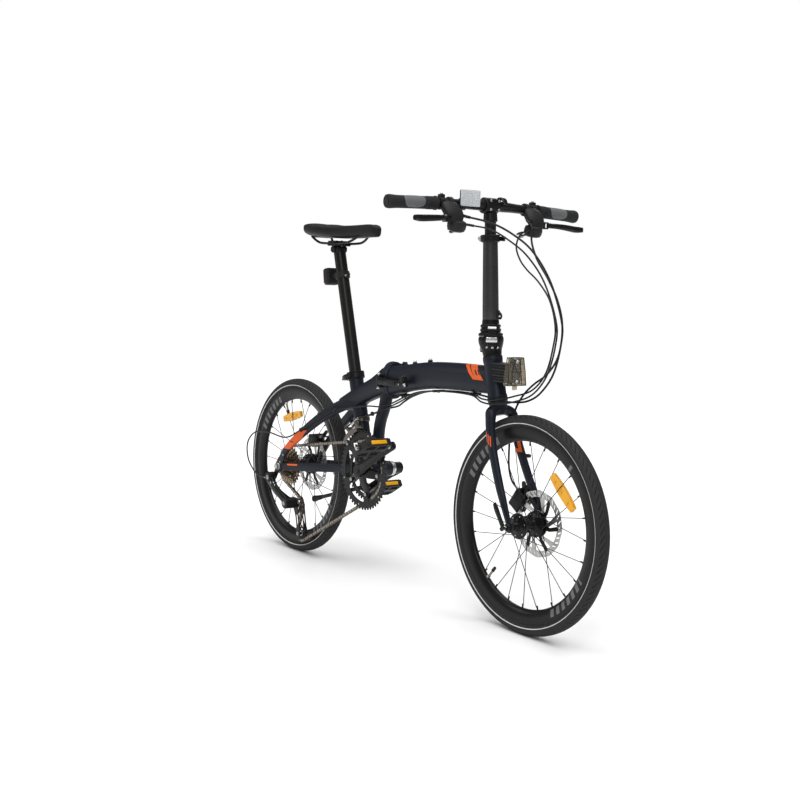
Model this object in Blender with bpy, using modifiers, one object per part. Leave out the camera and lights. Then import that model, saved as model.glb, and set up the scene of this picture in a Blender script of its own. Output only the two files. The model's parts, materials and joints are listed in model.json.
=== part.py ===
"""Folding bicycle with 20-inch wheels, as separate solids in their riding positions.

Units are metres. +X points forward, +Y to the rider's left, +Z up. The origin lies on the
ground half way between the two axles. The drive side is the right side, at negative Y.
"""
import math

import bmesh
import bpy
from mathutils import Matrix, Vector

# Driving dimensions
WHEELBASE = 1.002
WHEEL_RADIUS = 0.2575
RIM_BED_RADIUS = 0.2240
RIM_EDGE_RADIUS = 0.2305
RIM_INNER_RADIUS = 0.1960
WHEEL_STEPS = 32
DISC_RADIUS = 0.080
FRONT_DISC_Y = 0.0375
REAR_DISC_Y = 0.0475
SPOKE_COUNT = 24
GAP = 0.0003

REAR_AXLE = Vector((-WHEELBASE / 2, 0, WHEEL_RADIUS))
FRONT_AXLE = Vector((WHEELBASE / 2, 0, WHEEL_RADIUS))
AXLE_RADIUS = 0.005
FRONT_DROPOUT_Y = 0.0495
REAR_DROPOUT_Y = 0.0677
DROPOUT_THICKNESS = 0.006

CRANK_AXIS = Vector((-0.095, 0, 0.303))
CRANK_LENGTH = 0.170
CRANK_ANGLE = math.radians(30)
CHAIN_PITCH = 0.0127
LARGE_RING_TEETH = 52
SMALL_RING_TEETH = 39
LARGE_COG_TEETH = 28
SMALL_COG_TEETH = 11
PULLEY_TEETH = 11
TOOTH_HEIGHT = 0.0032
FRONT_CHAIN_Y = -0.0425
REAR_CHAIN_Y = -0.0325
UPPER_PULLEY = Vector((-0.443, REAR_CHAIN_Y, 0.147))
LOWER_PULLEY = Vector((-0.424, REAR_CHAIN_Y, 0.067))
PEDAL_Y = 0.130
PEDAL_SIZE = Vector((0.076, 0.080, 0.022))
PEDAL_TILT = math.radians(30)

STEER_POINT = Vector((0.369, 0, 0.589))
STEER_DIRECTION = Vector((-0.2419, 0, 0.9703)).normalized()
HEAD_TUBE_RADIUS = 0.0225
STEERER_RADIUS = 0.0143
SEAT_POINT = Vector((-0.147, 0, 0.303))
SEAT_DIRECTION = Vector((-0.2785, 0, 0.9604)).normalized()
SEAT_TUBE_RADIUS = 0.0200
SEAT_TUBE_LENGTH = 0.262
SEATPOST_RADIUS = 0.01695
SEATPOST_TOP = 0.6195
SEATPOST_LENGTH = 0.550

HINGE_AXIS = Vector((-0.045, 0.040, 0.550))
HINGE_HALF_HEIGHT = 0.050
HINGE_HALF_WIDTH = 0.030

POST_FOOT = Vector((0.3463, 0, 0.6892))
POST_DIRECTION = Vector((-0.0680, 0, 1)).normalized()
POST_LENGTH = 0.2415
POST_HINGE_OFFSET = 0.037
STEM_RADIUS = 0.0136
BAR_CENTRE = Vector((0.3213, 0, 0.999))
BAR_END = Vector((0.311, 0.290, 0.991))
BAR_STRAIGHT = Vector((0.316, 0.148, 0.996))
BAR_RADIUS = 0.0111
BAR_CENTRE_RADIUS = 0.0127

STAND_PIVOT = Vector((-0.2150, 0.0412, 0.2300))
STAND_AXIS = Vector((-0.1130, 0.9170, 0.3810)).normalized()
STAND_LENGTH = 0.284

# Cable housings: radius and route. The two that run to the back are in two lengths, which meet
# at the first clip under the main tube, so that the loops in front can bear on the ground.
BRAKE_HOUSING_RADIUS = 0.0024
SHIFT_HOUSING_RADIUS = 0.0021
CABLE_ROUTES = {
    "front_brake_cable": (BRAKE_HOUSING_RADIUS, [
        (0.35, 0.099, 0.968), (0.372, 0.094, 0.953), (0.382, 0.086, 0.918), (0.412, 0.078, 0.876),
        (0.462, 0.07, 0.829), (0.505, 0.063, 0.778), (0.531, 0.056, 0.722), (0.53, 0.05, 0.657),
        (0.501, 0.047, 0.612), (0.452, 0.0485, 0.581), (0.414, 0.052, 0.552), (0.39, 0.0505, 0.515),
        (0.3845, 0.043, 0.47), (0.3885, 0.037, 0.425), (0.392, 0.0355, 0.38), (0.4, 0.038, 0.348),
        (0.415, 0.041, 0.331), (0.424, 0.0425, 0.326)]),
    "rear_brake_loop": (BRAKE_HOUSING_RADIUS, [
        (0.35, -0.099, 0.968), (0.386, -0.05, 0.955), (0.42, -0.014, 0.932), (0.463, 0.014, 0.893),
        (0.507, 0.034, 0.824), (0.542, 0.042, 0.735), (0.546, 0.04, 0.682), (0.53, 0.036, 0.613),
        (0.492, 0.034, 0.565), (0.45, 0.034, 0.542), (0.405, 0.033, 0.5345), (0.36, 0.027, 0.5345),
        (0.3, 0.013, 0.543)]),
    "rear_brake_cable": (BRAKE_HOUSING_RADIUS, [
        (0.2988, 0.013, 0.543), (0.2, 0.012, 0.5425), (0.1, 0.012, 0.533), (0.035, 0.012, 0.515),
        (-0.01, 0.015, 0.495), (-0.045, 0.023, 0.48), (-0.095, 0.029, 0.468), (-0.15, 0.031, 0.452),
        (-0.21, 0.034, 0.432), (-0.29, 0.04, 0.404), (-0.36, 0.048, 0.368), (-0.41, 0.0475, 0.352),
        (-0.445, 0.0465, 0.346), (-0.466, 0.0465, 0.343)]),
    "front_shift_cable": (SHIFT_HOUSING_RADIUS, [
        (0.362, 0.096, 0.948), (0.34, 0.086, 0.934), (0.338, 0.077, 0.905), (0.36, 0.071, 0.874),
        (0.392, 0.066, 0.85), (0.44, 0.06, 0.822), (0.49, 0.052, 0.779), (0.522, 0.042, 0.722),
        (0.531, 0.03, 0.675), (0.528, 0.014, 0.615), (0.503, -0.002, 0.574), (0.462, -0.02, 0.556),
        (0.41, -0.033, 0.542), (0.36, -0.029, 0.54), (0.3, -0.006, 0.543), (0.2, 0, 0.5425), (0.1, 0, 0.533),
        (0.035, 0, 0.514), (-0.005, -0.01, 0.493), (-0.04, -0.026, 0.474), (-0.09, -0.03, 0.456),
        (-0.135, -0.031, 0.442), (-0.164, -0.03, 0.432)]),
    "rear_shift_loop": (SHIFT_HOUSING_RADIUS, [
        (0.362, -0.096, 0.948), (0.394, -0.056, 0.939), (0.427, -0.026, 0.915), (0.463, 0, 0.88),
        (0.505, 0.018, 0.82), (0.541, 0.026, 0.733), (0.549, 0.02, 0.68), (0.545, 0.002, 0.612),
        (0.518, -0.016, 0.565), (0.468, -0.032, 0.543), (0.412, -0.038, 0.533),
        (0.36, -0.032, 0.533), (0.3, -0.014, 0.543), (0.2, -0.012, 0.5425), (0.1, -0.012, 0.533)]),
    "rear_shift_cable": (SHIFT_HOUSING_RADIUS, [
        (0.0986, -0.012, 0.5327), (0.035, -0.012, 0.515), (-0.01, -0.02, 0.494), (-0.045, -0.033, 0.48),
        (-0.1, -0.037, 0.476), (-0.17, -0.04, 0.465),
        (-0.24, -0.05, 0.45), (-0.31, -0.066, 0.418), (-0.38, -0.074, 0.38), (-0.45, -0.081, 0.35),
        (-0.54, -0.088, 0.355), (-0.615, -0.09, 0.345), (-0.655, -0.091, 0.308),
        (-0.648, -0.091, 0.26), (-0.605, -0.0905, 0.225), (-0.564, -0.09, 0.218),
        (-0.537, -0.089, 0.22)]),
}

X_AXIS = Vector((1, 0, 0))
Y_AXIS = Vector((0, 1, 0))
Z_AXIS = Vector((0, 0, 1))

NAVY = ("frame_navy", (0.018, 0.022, 0.035), 0.45, 0.2)
BLACK = ("black_alloy", (0.012, 0.012, 0.013), 0.40, 0.6)
GREY = ("grey_anodised", (0.060, 0.060, 0.065), 0.35, 0.8)
PLASTIC = ("black_plastic", (0.015, 0.015, 0.016), 0.50, 0.0)
RUBBER = ("rubber", (0.016, 0.016, 0.017), 0.85, 0.0)
STEEL = ("steel", (0.560, 0.560, 0.550), 0.28, 1.0)
BRONZE = ("chain_bronze", (0.330, 0.270, 0.190), 0.35, 0.9)
SMOKE = ("smoked_plastic", (0.200, 0.180, 0.150), 0.12, 0.0)
FOAM = ("saddle_cover", (0.014, 0.014, 0.015), 0.60, 0.0)


# ---------------------------------------------------------------- building blocks

def new_collection(name):
    """A fresh collection in the scene."""
    old = bpy.data.collections.get(name)
    if old is not None:
        bpy.data.collections.remove(old)
    collection = bpy.data.collections.new(name)
    bpy.context.scene.collection.children.link(collection)
    return collection


def paint(obj, finish):
    """Give an object its own Principled material."""
    name, colour, roughness, metallic = finish
    material = bpy.data.materials.new(f"{obj.name}_{name}")
    material.use_nodes = True
    shader = material.node_tree.nodes["Principled BSDF"]
    shader.inputs["Base Color"].default_value = (*colour, 1)
    shader.inputs["Roughness"].default_value = roughness
    shader.inputs["Metallic"].default_value = metallic
    obj.data.materials.clear()
    obj.data.materials.append(material)


def place(obj, collection):
    """Link an object to one collection only."""
    for other in list(obj.users_collection):
        other.objects.unlink(obj)
    collection.objects.link(obj)
    return obj


def mesh_object(name, bm, smooth=True):
    """Turn a bmesh into an object in the parts collection."""
    bmesh.ops.recalc_face_normals(bm, faces=bm.faces[:])
    mesh = bpy.data.meshes.new(name)
    bm.to_mesh(mesh)
    bm.free()
    if smooth:
        mesh.shade_smooth()
        mesh.set_sharp_from_angle(angle=math.radians(35))
    return place(bpy.data.objects.new(name, mesh), PARTS)


def aligned(direction, start=Z_AXIS):
    """Rotation that takes the start direction to the given one."""
    return start.rotation_difference(Vector(direction).normalized()).to_euler()


def rod(name, start, end, radius, end_radius=None, sides=16):
    """A cylinder or cone between two points."""
    start, end = Vector(start), Vector(end)
    bm = bmesh.new()
    bmesh.ops.create_cone(bm, cap_ends=True, segments=sides, radius1=radius,
                          radius2=radius if end_radius is None else end_radius,
                          depth=(end - start).length)
    obj = mesh_object(name, bm)
    obj.location = (start + end) / 2
    obj.rotation_euler = aligned(end - start)
    return obj


def block(name, centre, size, rotation=(0, 0, 0), rounding=0.0):
    """A box, with its edges rounded if asked."""
    bm = bmesh.new()
    bmesh.ops.create_cube(bm, size=1, matrix=Matrix.Diagonal((*size, 1)))
    if rounding:
        bmesh.ops.bevel(bm, geom=bm.edges[:], offset=rounding, segments=1, affect="EDGES")
    obj = mesh_object(name, bm, smooth=False)
    obj.location = centre
    obj.rotation_euler = rotation
    return obj


def turned(name, profile, centre, axis=Y_AXIS, steps=24):
    """Turn a closed (radius, height) outline about an axis.

    The outline runs down its outer side, so that the faces point out.
    """
    mesh = bpy.data.meshes.new(name)
    count = len(profile)
    mesh.from_pydata([(r, 0, h) for r, h in profile], [(i, (i + 1) % count) for i in range(count)], [])
    obj = place(bpy.data.objects.new(name, mesh), PARTS)
    screw = obj.modifiers.new("Turn", "SCREW")
    screw.steps = steps
    screw.render_steps = steps
    screw.use_merge_vertices = True
    screw.merge_threshold = 0.00001
    screw.use_smooth_shade = True
    obj.location = centre
    obj.rotation_euler = aligned(axis)
    return obj


def ring(name, centre, axis, inner, outer, half_length, steps=24):
    """A plain turned ring."""
    outline = [(outer, half_length), (outer, -half_length), (inner, -half_length), (inner, half_length)]
    return turned(name, outline, centre, axis, steps)


def oval(count, squareness=2.0):
    """Unit outline of an ellipse, or of a rounder-cornered box when squareness is above 2."""
    points = []
    for i in range(count):
        angle = 2 * math.pi * (i + 0.5) / count
        c, s = math.cos(angle), math.sin(angle)
        power = 2 / squareness
        points.append((math.copysign(abs(c) ** power, c), math.copysign(abs(s) ** power, s)))
    return points


def loft(name, path, halves, outline, side=Y_AXIS):
    """Skin an outline along a path; halves gives the half width and half height at each point."""
    path = [Vector(p) for p in path]
    bm = bmesh.new()
    loops = []
    for i, point in enumerate(path):
        tangent = (path[min(i + 1, len(path) - 1)] - path[max(i - 1, 0)]).normalized()
        across = (side - tangent * side.dot(tangent)).normalized()
        up = across.cross(tangent)
        wide, high = halves[i]
        loops.append([bm.verts.new(point + across * (u * wide) + up * (v * high)) for u, v in outline])
    for lower, upper in zip(loops, loops[1:]):
        for i in range(len(outline)):
            j = (i + 1) % len(outline)
            bm.faces.new((lower[i], lower[j], upper[j], upper[i]))
    bm.faces.new(loops[0])
    bm.faces.new(loops[-1])
    return mesh_object(name, bm)


def smooth_route(points, spacing):
    """Points a fixed distance apart on a Catmull-Rom curve through the given ones."""
    points = [Vector(p) for p in points]
    padded = [2 * points[0] - points[1]] + points + [2 * points[-1] - points[-2]]
    dense = []
    for a, b, c, d in zip(padded, padded[1:], padded[2:], padded[3:]):
        for k in range(12):
            t = k / 12
            dense.append(0.5 * (2 * b + (c - a) * t + (2 * a - 5 * b + 4 * c - d) * t * t
                                + (3 * b - 3 * c + d - a) * t ** 3))
    dense.append(points[-1])
    length = sum((q - p).length for p, q in zip(dense, dense[1:]))
    count = max(2, round(length / spacing))
    step = length / count
    route, travelled, target = [dense[0]], 0.0, step
    for p, q in zip(dense, dense[1:]):
        run = (q - p).length
        while travelled + run >= target - 1e-9 and len(route) < count:
            route.append(p.lerp(q, (target - travelled) / run))
            target += step
        travelled += run
    route.append(dense[-1])
    return route


def tube(name, points, radius, spacing=None, resolution=1):
    """A round tube along a smooth route, as a curve with filled caps."""
    route = smooth_route(points, spacing) if spacing else [Vector(p) for p in points]
    curve = bpy.data.curves.new(name, "CURVE")
    curve.dimensions = "3D"
    curve.bevel_depth = radius
    curve.bevel_resolution = resolution
    curve.use_fill_caps = True
    spline = curve.splines.new("POLY")
    spline.points.add(len(route) - 1)
    for spline_point, point in zip(spline.points, route):
        spline_point.co = (*point, 1)
    return place(bpy.data.objects.new(name, curve), PARTS)


def meshed(curve_object):
    """Replace a curve object by a closed mesh of the same shape."""
    graph = bpy.context.evaluated_depsgraph_get()
    mesh = bpy.data.meshes.new_from_object(curve_object.evaluated_get(graph))
    bm = bmesh.new()
    bm.from_mesh(mesh)
    bmesh.ops.remove_doubles(bm, verts=bm.verts[:], dist=0.00001)
    name = curve_object.name
    matrix = curve_object.matrix_world.copy()
    bpy.data.objects.remove(curve_object)
    obj = mesh_object(name, bm)
    obj.matrix_world = matrix
    return obj


def combine(target, others, operation):
    """Boolean the others into the target, and keep them as hidden guides."""
    for other in others:
        place(other, CUTTERS)
        other.hide_render = True
        other.display_type = "WIRE"
        modifier = target.modifiers.new(other.name, "BOOLEAN")
        modifier.operation = operation
        modifier.solver = "EXACT"
        modifier.object = other
    return target


def join(target, *others):
    return combine(target, others, "UNION")


def cut(target, *others):
    return combine(target, others, "DIFFERENCE")


def attach(finish, axis_name, point, objects):
    """Parent moving pieces to an empty that stands on their joint's axis."""
    empty = EMPTIES.get(axis_name)
    if empty is None:
        empty = place(bpy.data.objects.new(axis_name, None), PARTS)
        empty.empty_display_size = 0.03
        empty.location = point
        EMPTIES[axis_name] = empty
    for obj in objects:
        paint(obj, finish)
        obj.parent = empty
        obj.matrix_parent_inverse = Matrix.Translation(-Vector(point))


def on_axis(point, direction, distance):
    return point + direction * distance


def mirrored_y(points):
    return [Vector((p[0], -p[1], p[2])) for p in points]


# ---------------------------------------------------------------- wheels

def wheel(prefix, axle, disc_y, flange_left, flange_right, hub_outline):
    """Tyre, rim, hub, spokes and brake disc of one wheel."""
    tyre_half = [(WHEEL_RADIUS, 0.0), (0.2540, 0.0115), (0.2440, 0.0194), (0.2350, 0.0165), (0.2325, 0.0090),
                 (0.2250, 0.0085)]
    upper = list(reversed(tyre_half))
    lower = [(r, -y) for r, y in tyre_half[1:]]
    tyre = turned(f"{prefix}_tyre", upper + lower, axle, Y_AXIS, WHEEL_STEPS)
    rim_half = [(RIM_EDGE_RADIUS, 0.0096), (RIM_EDGE_RADIUS, 0.0116), (0.2150, 0.0122),
                (RIM_INNER_RADIUS, 0.0030)]
    bed = [(RIM_BED_RADIUS, 0.0092)]
    upper = bed + rim_half
    lower = [(r, -y) for r, y in reversed(upper)]
    rim = turned(f"{prefix}_rim", list(reversed(upper + lower)), axle, Y_AXIS, WHEEL_STEPS)
    hub = turned(f"{prefix}_hub", hub_outline, axle, Y_AXIS, 12)
    disc_centre = axle + Vector((0, disc_y, 0))
    disc = ring(f"{prefix}_rotor", disc_centre, Y_AXIS, 0.0178, DISC_RADIUS, 0.0009, 24)
    spokes = spoke_set(f"{prefix}_spokes", axle, flange_left, flange_right)
    return tyre, rim, hub, spokes, disc


def spoke_set(name, axle, flange_left, flange_right):
    """All spokes of a wheel, held by a thin ring on each hub flange and one inside the rim."""
    hub_radius, spoke_radius = 0.0300, 0.0011
    rim_ring = ring(name, axle, Y_AXIS, 0.1928, 0.1945, 0.0025, SPOKE_COUNT)
    left = ring(f"{name}_left", axle + Vector((0, flange_left, 0)), Y_AXIS, 0.0290, 0.0310, 0.0013, 12)
    right = ring(f"{name}_right", axle + Vector((0, flange_right, 0)), Y_AXIS, 0.0290, 0.0310, 0.0013, 12)
    bm = bmesh.new()
    for i in range(SPOKE_COUNT):
        angle = 2 * math.pi * (i + 0.5) / SPOKE_COUNT
        radial = Vector((math.cos(angle), 0, math.sin(angle)))
        flange = flange_left if i % 2 == 0 else flange_right
        start = radial * hub_radius + Vector((0, flange, 0))
        end = radial * 0.1936
        turn = Z_AXIS.rotation_difference(end - start).to_matrix().to_4x4()
        middle = Matrix.Translation((start + end) / 2)
        bmesh.ops.create_cone(bm, cap_ends=True, segments=3, radius1=spoke_radius, radius2=spoke_radius,
                              depth=(end - start).length, matrix=middle @ turn)
    wires = mesh_object(f"{name}_wires", bm)
    wires.location = axle
    return join(rim_ring, left, right, wires)


def make_wheels():
    front_hub = [(0.0088, 0.0485), (0.0088, 0.0400), (0.0172, 0.0400), (0.0172, 0.0272), (0.0276, 0.0270),
                 (0.0276, 0.0240), (0.0125, 0.0215), (0.0125, -0.0215), (0.0276, -0.0240), (0.0276, -0.0270),
                 (0.0110, -0.0290), (0.0088, -0.0485), (0.0054, -0.0485), (0.0054, 0.0485)]
    pieces = wheel("front", FRONT_AXLE, FRONT_DISC_Y, 0.0255, -0.0255, front_hub)
    attach(RUBBER, "front_wheel_axis", FRONT_AXLE, pieces[:1])
    attach(BLACK, "front_wheel_axis", FRONT_AXLE, pieces[1:4])
    attach(STEEL, "front_wheel_axis", FRONT_AXLE, pieces[4:])
    rear_hub = [(0.0088, 0.0660), (0.0088, 0.0500), (0.0172, 0.0500), (0.0172, 0.0352), (0.0276, 0.0350),
                (0.0276, 0.0320), (0.0135, 0.0290), (0.0135, -0.0170), (0.0276, -0.0195), (0.0276, -0.0225),
                (0.0163, -0.0270), (0.0163, -0.0640), (0.0088, -0.0642), (0.0088, -0.0660), (0.0054, -0.0660),
                (0.0054, 0.0660)]
    pieces = wheel("rear", REAR_AXLE, REAR_DISC_Y, 0.0335, -0.0210, rear_hub)
    attach(RUBBER, "rear_wheel_axis", REAR_AXLE, pieces[:1])
    attach(BLACK, "rear_wheel_axis", REAR_AXLE, pieces[1:4])
    attach(STEEL, "rear_wheel_axis", REAR_AXLE, pieces[4:])


def axle_rod(name, axle, inner_y, outer_y):
    """A hub axle with a nut outside each dropout."""
    outline = [(0, outer_y), (0.0095, outer_y), (0.0095, inner_y), (AXLE_RADIUS, inner_y),
               (AXLE_RADIUS, -inner_y), (0.0095, -inner_y), (0.0095, -outer_y), (0, -outer_y)]
    mesh = bpy.data.meshes.new(name)
    mesh.from_pydata([(r, 0, h) for r, h in outline], [(i, i + 1) for i in range(len(outline) - 1)], [])
    obj = place(bpy.data.objects.new(name, mesh), PARTS)
    screw = obj.modifiers.new("Turn", "SCREW")
    screw.steps = 12
    screw.render_steps = 12
    screw.use_merge_vertices = True
    screw.merge_threshold = 0.00001
    obj.location = axle
    obj.rotation_euler = aligned(Y_AXIS)
    return obj


# ---------------------------------------------------------------- frame

def hinge_plate(name, rear_x, front_x):
    """One oval flange of the main hinge."""
    centre_z = HINGE_AXIS.z
    halves = [(HINGE_HALF_WIDTH, HINGE_HALF_HEIGHT)] * 2
    return loft(name, [(rear_x, 0, centre_z), (front_x, 0, centre_z)], halves, oval(16))


def rear_stay(name, side):
    """Seat stay from the beam to one dropout."""
    path = [(-0.190, 0.016, 0.486), (-0.240, 0.030, 0.462), (-0.275, 0.041, 0.444), (-0.339, 0.052, 0.406),
            (-0.403, 0.060, 0.362), (-0.459, 0.066, 0.318), (-0.500, 0.0705, 0.270)]
    halves = [(0.0080, 0.0175), (0.0085, 0.0168), (0.0085, 0.0158), (0.0080, 0.0142), (0.0075, 0.0125),
              (0.0065, 0.0110), (0.0028, 0.0110)]
    return loft(name, path if side > 0 else mirrored_y(path), halves, oval(10, 3.0))


def chain_stay(name, side):
    """Chain stay from the bottom bracket to one dropout."""
    path = [(-0.120, 0.0180, 0.3000), (-0.200, 0.0285, 0.2910), (-0.260, 0.0355, 0.2845),
            (-0.340, 0.0500, 0.2755), (-0.430, 0.0625, 0.2655), (-0.500, 0.0707, 0.2585)]
    halves = [(0.0075, 0.0125), (0.0055, 0.0125), (0.0060, 0.0125), (0.0065, 0.0125), (0.0055, 0.0122),
              (0.0028, 0.0115)]
    return loft(name, path if side > 0 else mirrored_y(path), halves, oval(10, 3.0))


def make_rear_frame():
    beam = loft("rear_frame",
                [(-0.0530, 0, 0.5480), (-0.0600, 0, 0.5475), (-0.0850, 0, 0.5370), (-0.1200, 0, 0.5220),
                 (-0.1700, 0, 0.5020), (-0.2150, 0, 0.4825), (-0.2480, 0, 0.4670)],
                [(0.0255, 0.0400), (0.0250, 0.0390), (0.0240, 0.0330), (0.0240, 0.0285), (0.0250, 0.0262),
                 (0.0290, 0.0235), (0.0330, 0.0215)], oval(12, 2.6))
    flange = hinge_plate("rear_flange", -0.0565, -0.0453)
    down = meshed(tube("curved_down_tube",
                       [(-0.0660, 0, 0.5230), (-0.0760, 0, 0.4750), (-0.0910, 0, 0.4380),
                        (-0.0985, 0, 0.4000), (-0.0980, 0, 0.3500), (-0.0950, 0, 0.3080)], 0.0160, 0.045, 2))
    shell = rod("bracket_shell", CRANK_AXIS - 0.034 * Y_AXIS, CRANK_AXIS + 0.034 * Y_AXIS, 0.0212, sides=14)
    seat_tube = rod("seat_tube", on_axis(SEAT_POINT, SEAT_DIRECTION, -0.018),
                    on_axis(SEAT_POINT, SEAT_DIRECTION, SEAT_TUBE_LENGTH), SEAT_TUBE_RADIUS, sides=14)
    gusset = block("bracket_gusset", (-0.121, 0, 0.300), (0.046, 0.036, 0.030), rounding=0.004)
    pieces = [flange, down, seat_tube, shell, gusset]
    for label, side in (("left", 1), ("right", -1)):
        plate_y = side * (REAR_DROPOUT_Y + DROPOUT_THICKNESS / 2)
        pieces.append(rear_stay(f"seat_stay_{label}", side))
        pieces.append(chain_stay(f"chain_stay_{label}", side))
        centre = REAR_AXLE + plate_y * Y_AXIS
        pieces.append(rod(f"dropout_{label}", centre - 0.003 * Y_AXIS, centre + 0.003 * Y_AXIS, 0.0185,
                          sides=10))
    pieces.append(block("derailleur_hanger", (-0.5125, -0.0707, 0.2390), (0.0500, 0.0060, 0.0170),
                        (0, math.radians(-59), 0)))
    pieces.append(block("stand_bracket", (-0.2150, 0.0330, 0.2560), (0.0240, 0.0060, 0.0560)))
    pieces.append(rod("stand_boss", STAND_PIVOT - STAND_AXIS * 0.0090, STAND_PIVOT - STAND_AXIS * 0.0006,
                      0.0095, sides=10))
    for label, low, high in (("low", 0.5060, 0.5185), ("high", 0.5815, 0.5940)):
        pieces.append(rod(f"rear_knuckle_{label}", (HINGE_AXIS.x, HINGE_AXIS.y, low),
                          (HINGE_AXIS.x, HINGE_AXIS.y, high), 0.0090, sides=10))
        middle = (low + high) / 2
        pieces.append(block(f"rear_ear_{label}", (-0.0510, 0.0225, middle),
                            (0.0108, 0.0370, high - low - 0.0006)))
    join(beam, *pieces)
    cut(beam,
        rod("seatpost_bore", on_axis(SEAT_POINT, SEAT_DIRECTION, -0.05),
            on_axis(SEAT_POINT, SEAT_DIRECTION, 0.30), 0.01745, sides=14),
        rod("bracket_bore", CRANK_AXIS - 0.05 * Y_AXIS, CRANK_AXIS + 0.05 * Y_AXIS, 0.0176, sides=14),
        rod("rear_axle_bore", REAR_AXLE - 0.09 * Y_AXIS, REAR_AXLE + 0.09 * Y_AXIS, 0.0056, sides=8),
        rod("rear_pin_bore", HINGE_AXIS - 0.08 * Z_AXIS, HINGE_AXIS + 0.08 * Z_AXIS, 0.0045, sides=8))
    paint(beam, NAVY)


def make_front_frame():
    section = [(0.50, 0.95), (0.88, 0.66), (1.00, 0.15), (0.96, -0.42), (0.62, -0.88), (0.20, -1.0),
               (-0.20, -1.0), (-0.62, -0.88), (-0.96, -0.42), (-1.00, 0.15), (-0.88, 0.66), (-0.50, 0.95)]
    main = loft("front_frame",
                [(-0.0380, 0, 0.5500), (0.0000, 0, 0.5555), (0.0600, 0, 0.5670), (0.1300, 0, 0.5768),
                 (0.2100, 0, 0.5815), (0.2900, 0, 0.5835), (0.3620, 0, 0.5840)],
                [(0.0255, 0.0400), (0.0245, 0.0365), (0.0240, 0.0350), (0.0240, 0.0345), (0.0240, 0.0342),
                 (0.0230, 0.0340), (0.0205, 0.0335)], section)
    head = rod("head_tube", on_axis(STEER_POINT, STEER_DIRECTION, -0.0505),
               on_axis(STEER_POINT, STEER_DIRECTION, 0.0495), HEAD_TUBE_RADIUS, sides=24)
    flange = hinge_plate("front_flange", -0.0447, -0.0335)
    knuckle = rod("front_knuckle", (HINGE_AXIS.x, HINGE_AXIS.y, 0.5192), (HINGE_AXIS.x, HINGE_AXIS.y, 0.5808),
                  0.0090, sides=10)
    ear = block("front_ear", (-0.0392, 0.0290, 0.5500), (0.0106, 0.0240, 0.0610))
    bosses = [rod(f"boss_{i}", (x, 0, z - 0.012), (x, 0, z), 0.0060, sides=12)
              for i, (x, z) in enumerate(((0.052, 0.6055), (0.116, 0.6155)))]
    join(main, head, flange, knuckle, ear, *bosses)
    cut(main,
        rod("headset_bore", on_axis(STEER_POINT, STEER_DIRECTION, -0.08),
            on_axis(STEER_POINT, STEER_DIRECTION, 0.08), 0.0185, sides=20),
        rod("front_pin_bore", HINGE_AXIS - 0.06 * Z_AXIS, HINGE_AXIS + 0.06 * Z_AXIS, 0.0045, sides=8))
    join(main, *[ring(f"headset_cup_{label}", on_axis(STEER_POINT, STEER_DIRECTION, distance),
                      STEER_DIRECTION, 0.0148, 0.0236, 0.0050, 28)
                 for label, distance in (("upper", 0.0515), ("lower", -0.0525))])
    carrier = loft("luggage_block",
                   [(0.4370, 0, 0.5780), (0.4370, 0, 0.6110), (0.4370, 0, 0.6450)],
                   [(0.0265, 0.0080), (0.0240, 0.0080), (0.0190, 0.0080)],
                   [(1, -1), (1, 1), (-1, 1), (-1, -1)])
    join(carrier, block("luggage_bracket", (0.4020, 0, 0.6060), (0.0580, 0.0320, 0.0480)))
    cut(carrier, rod("bracket_seat", on_axis(STEER_POINT, STEER_DIRECTION, -0.09),
                     on_axis(STEER_POINT, STEER_DIRECTION, 0.09), HEAD_TUBE_RADIUS + 0.0005, sides=24))
    attach(NAVY, "frame_fold_axis", HINGE_AXIS, [main])
    attach(SMOKE, "frame_fold_axis", HINGE_AXIS, [carrier])
    pin = rod("main_hinge_pin", (HINGE_AXIS.x, HINGE_AXIS.y, 0.5020), (HINGE_AXIS.x, HINGE_AXIS.y, 0.5980),
              0.0040, sides=12)
    heads = [rod(f"pin_head_{i}", (HINGE_AXIS.x, HINGE_AXIS.y, low), (HINGE_AXIS.x, HINGE_AXIS.y, low + 0.0040),
                 0.0070, sides=12) for i, low in enumerate((0.5016, 0.5944))]
    paint(join(pin, *heads), STEEL)


# ---------------------------------------------------------------- fork and handlepost

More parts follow.
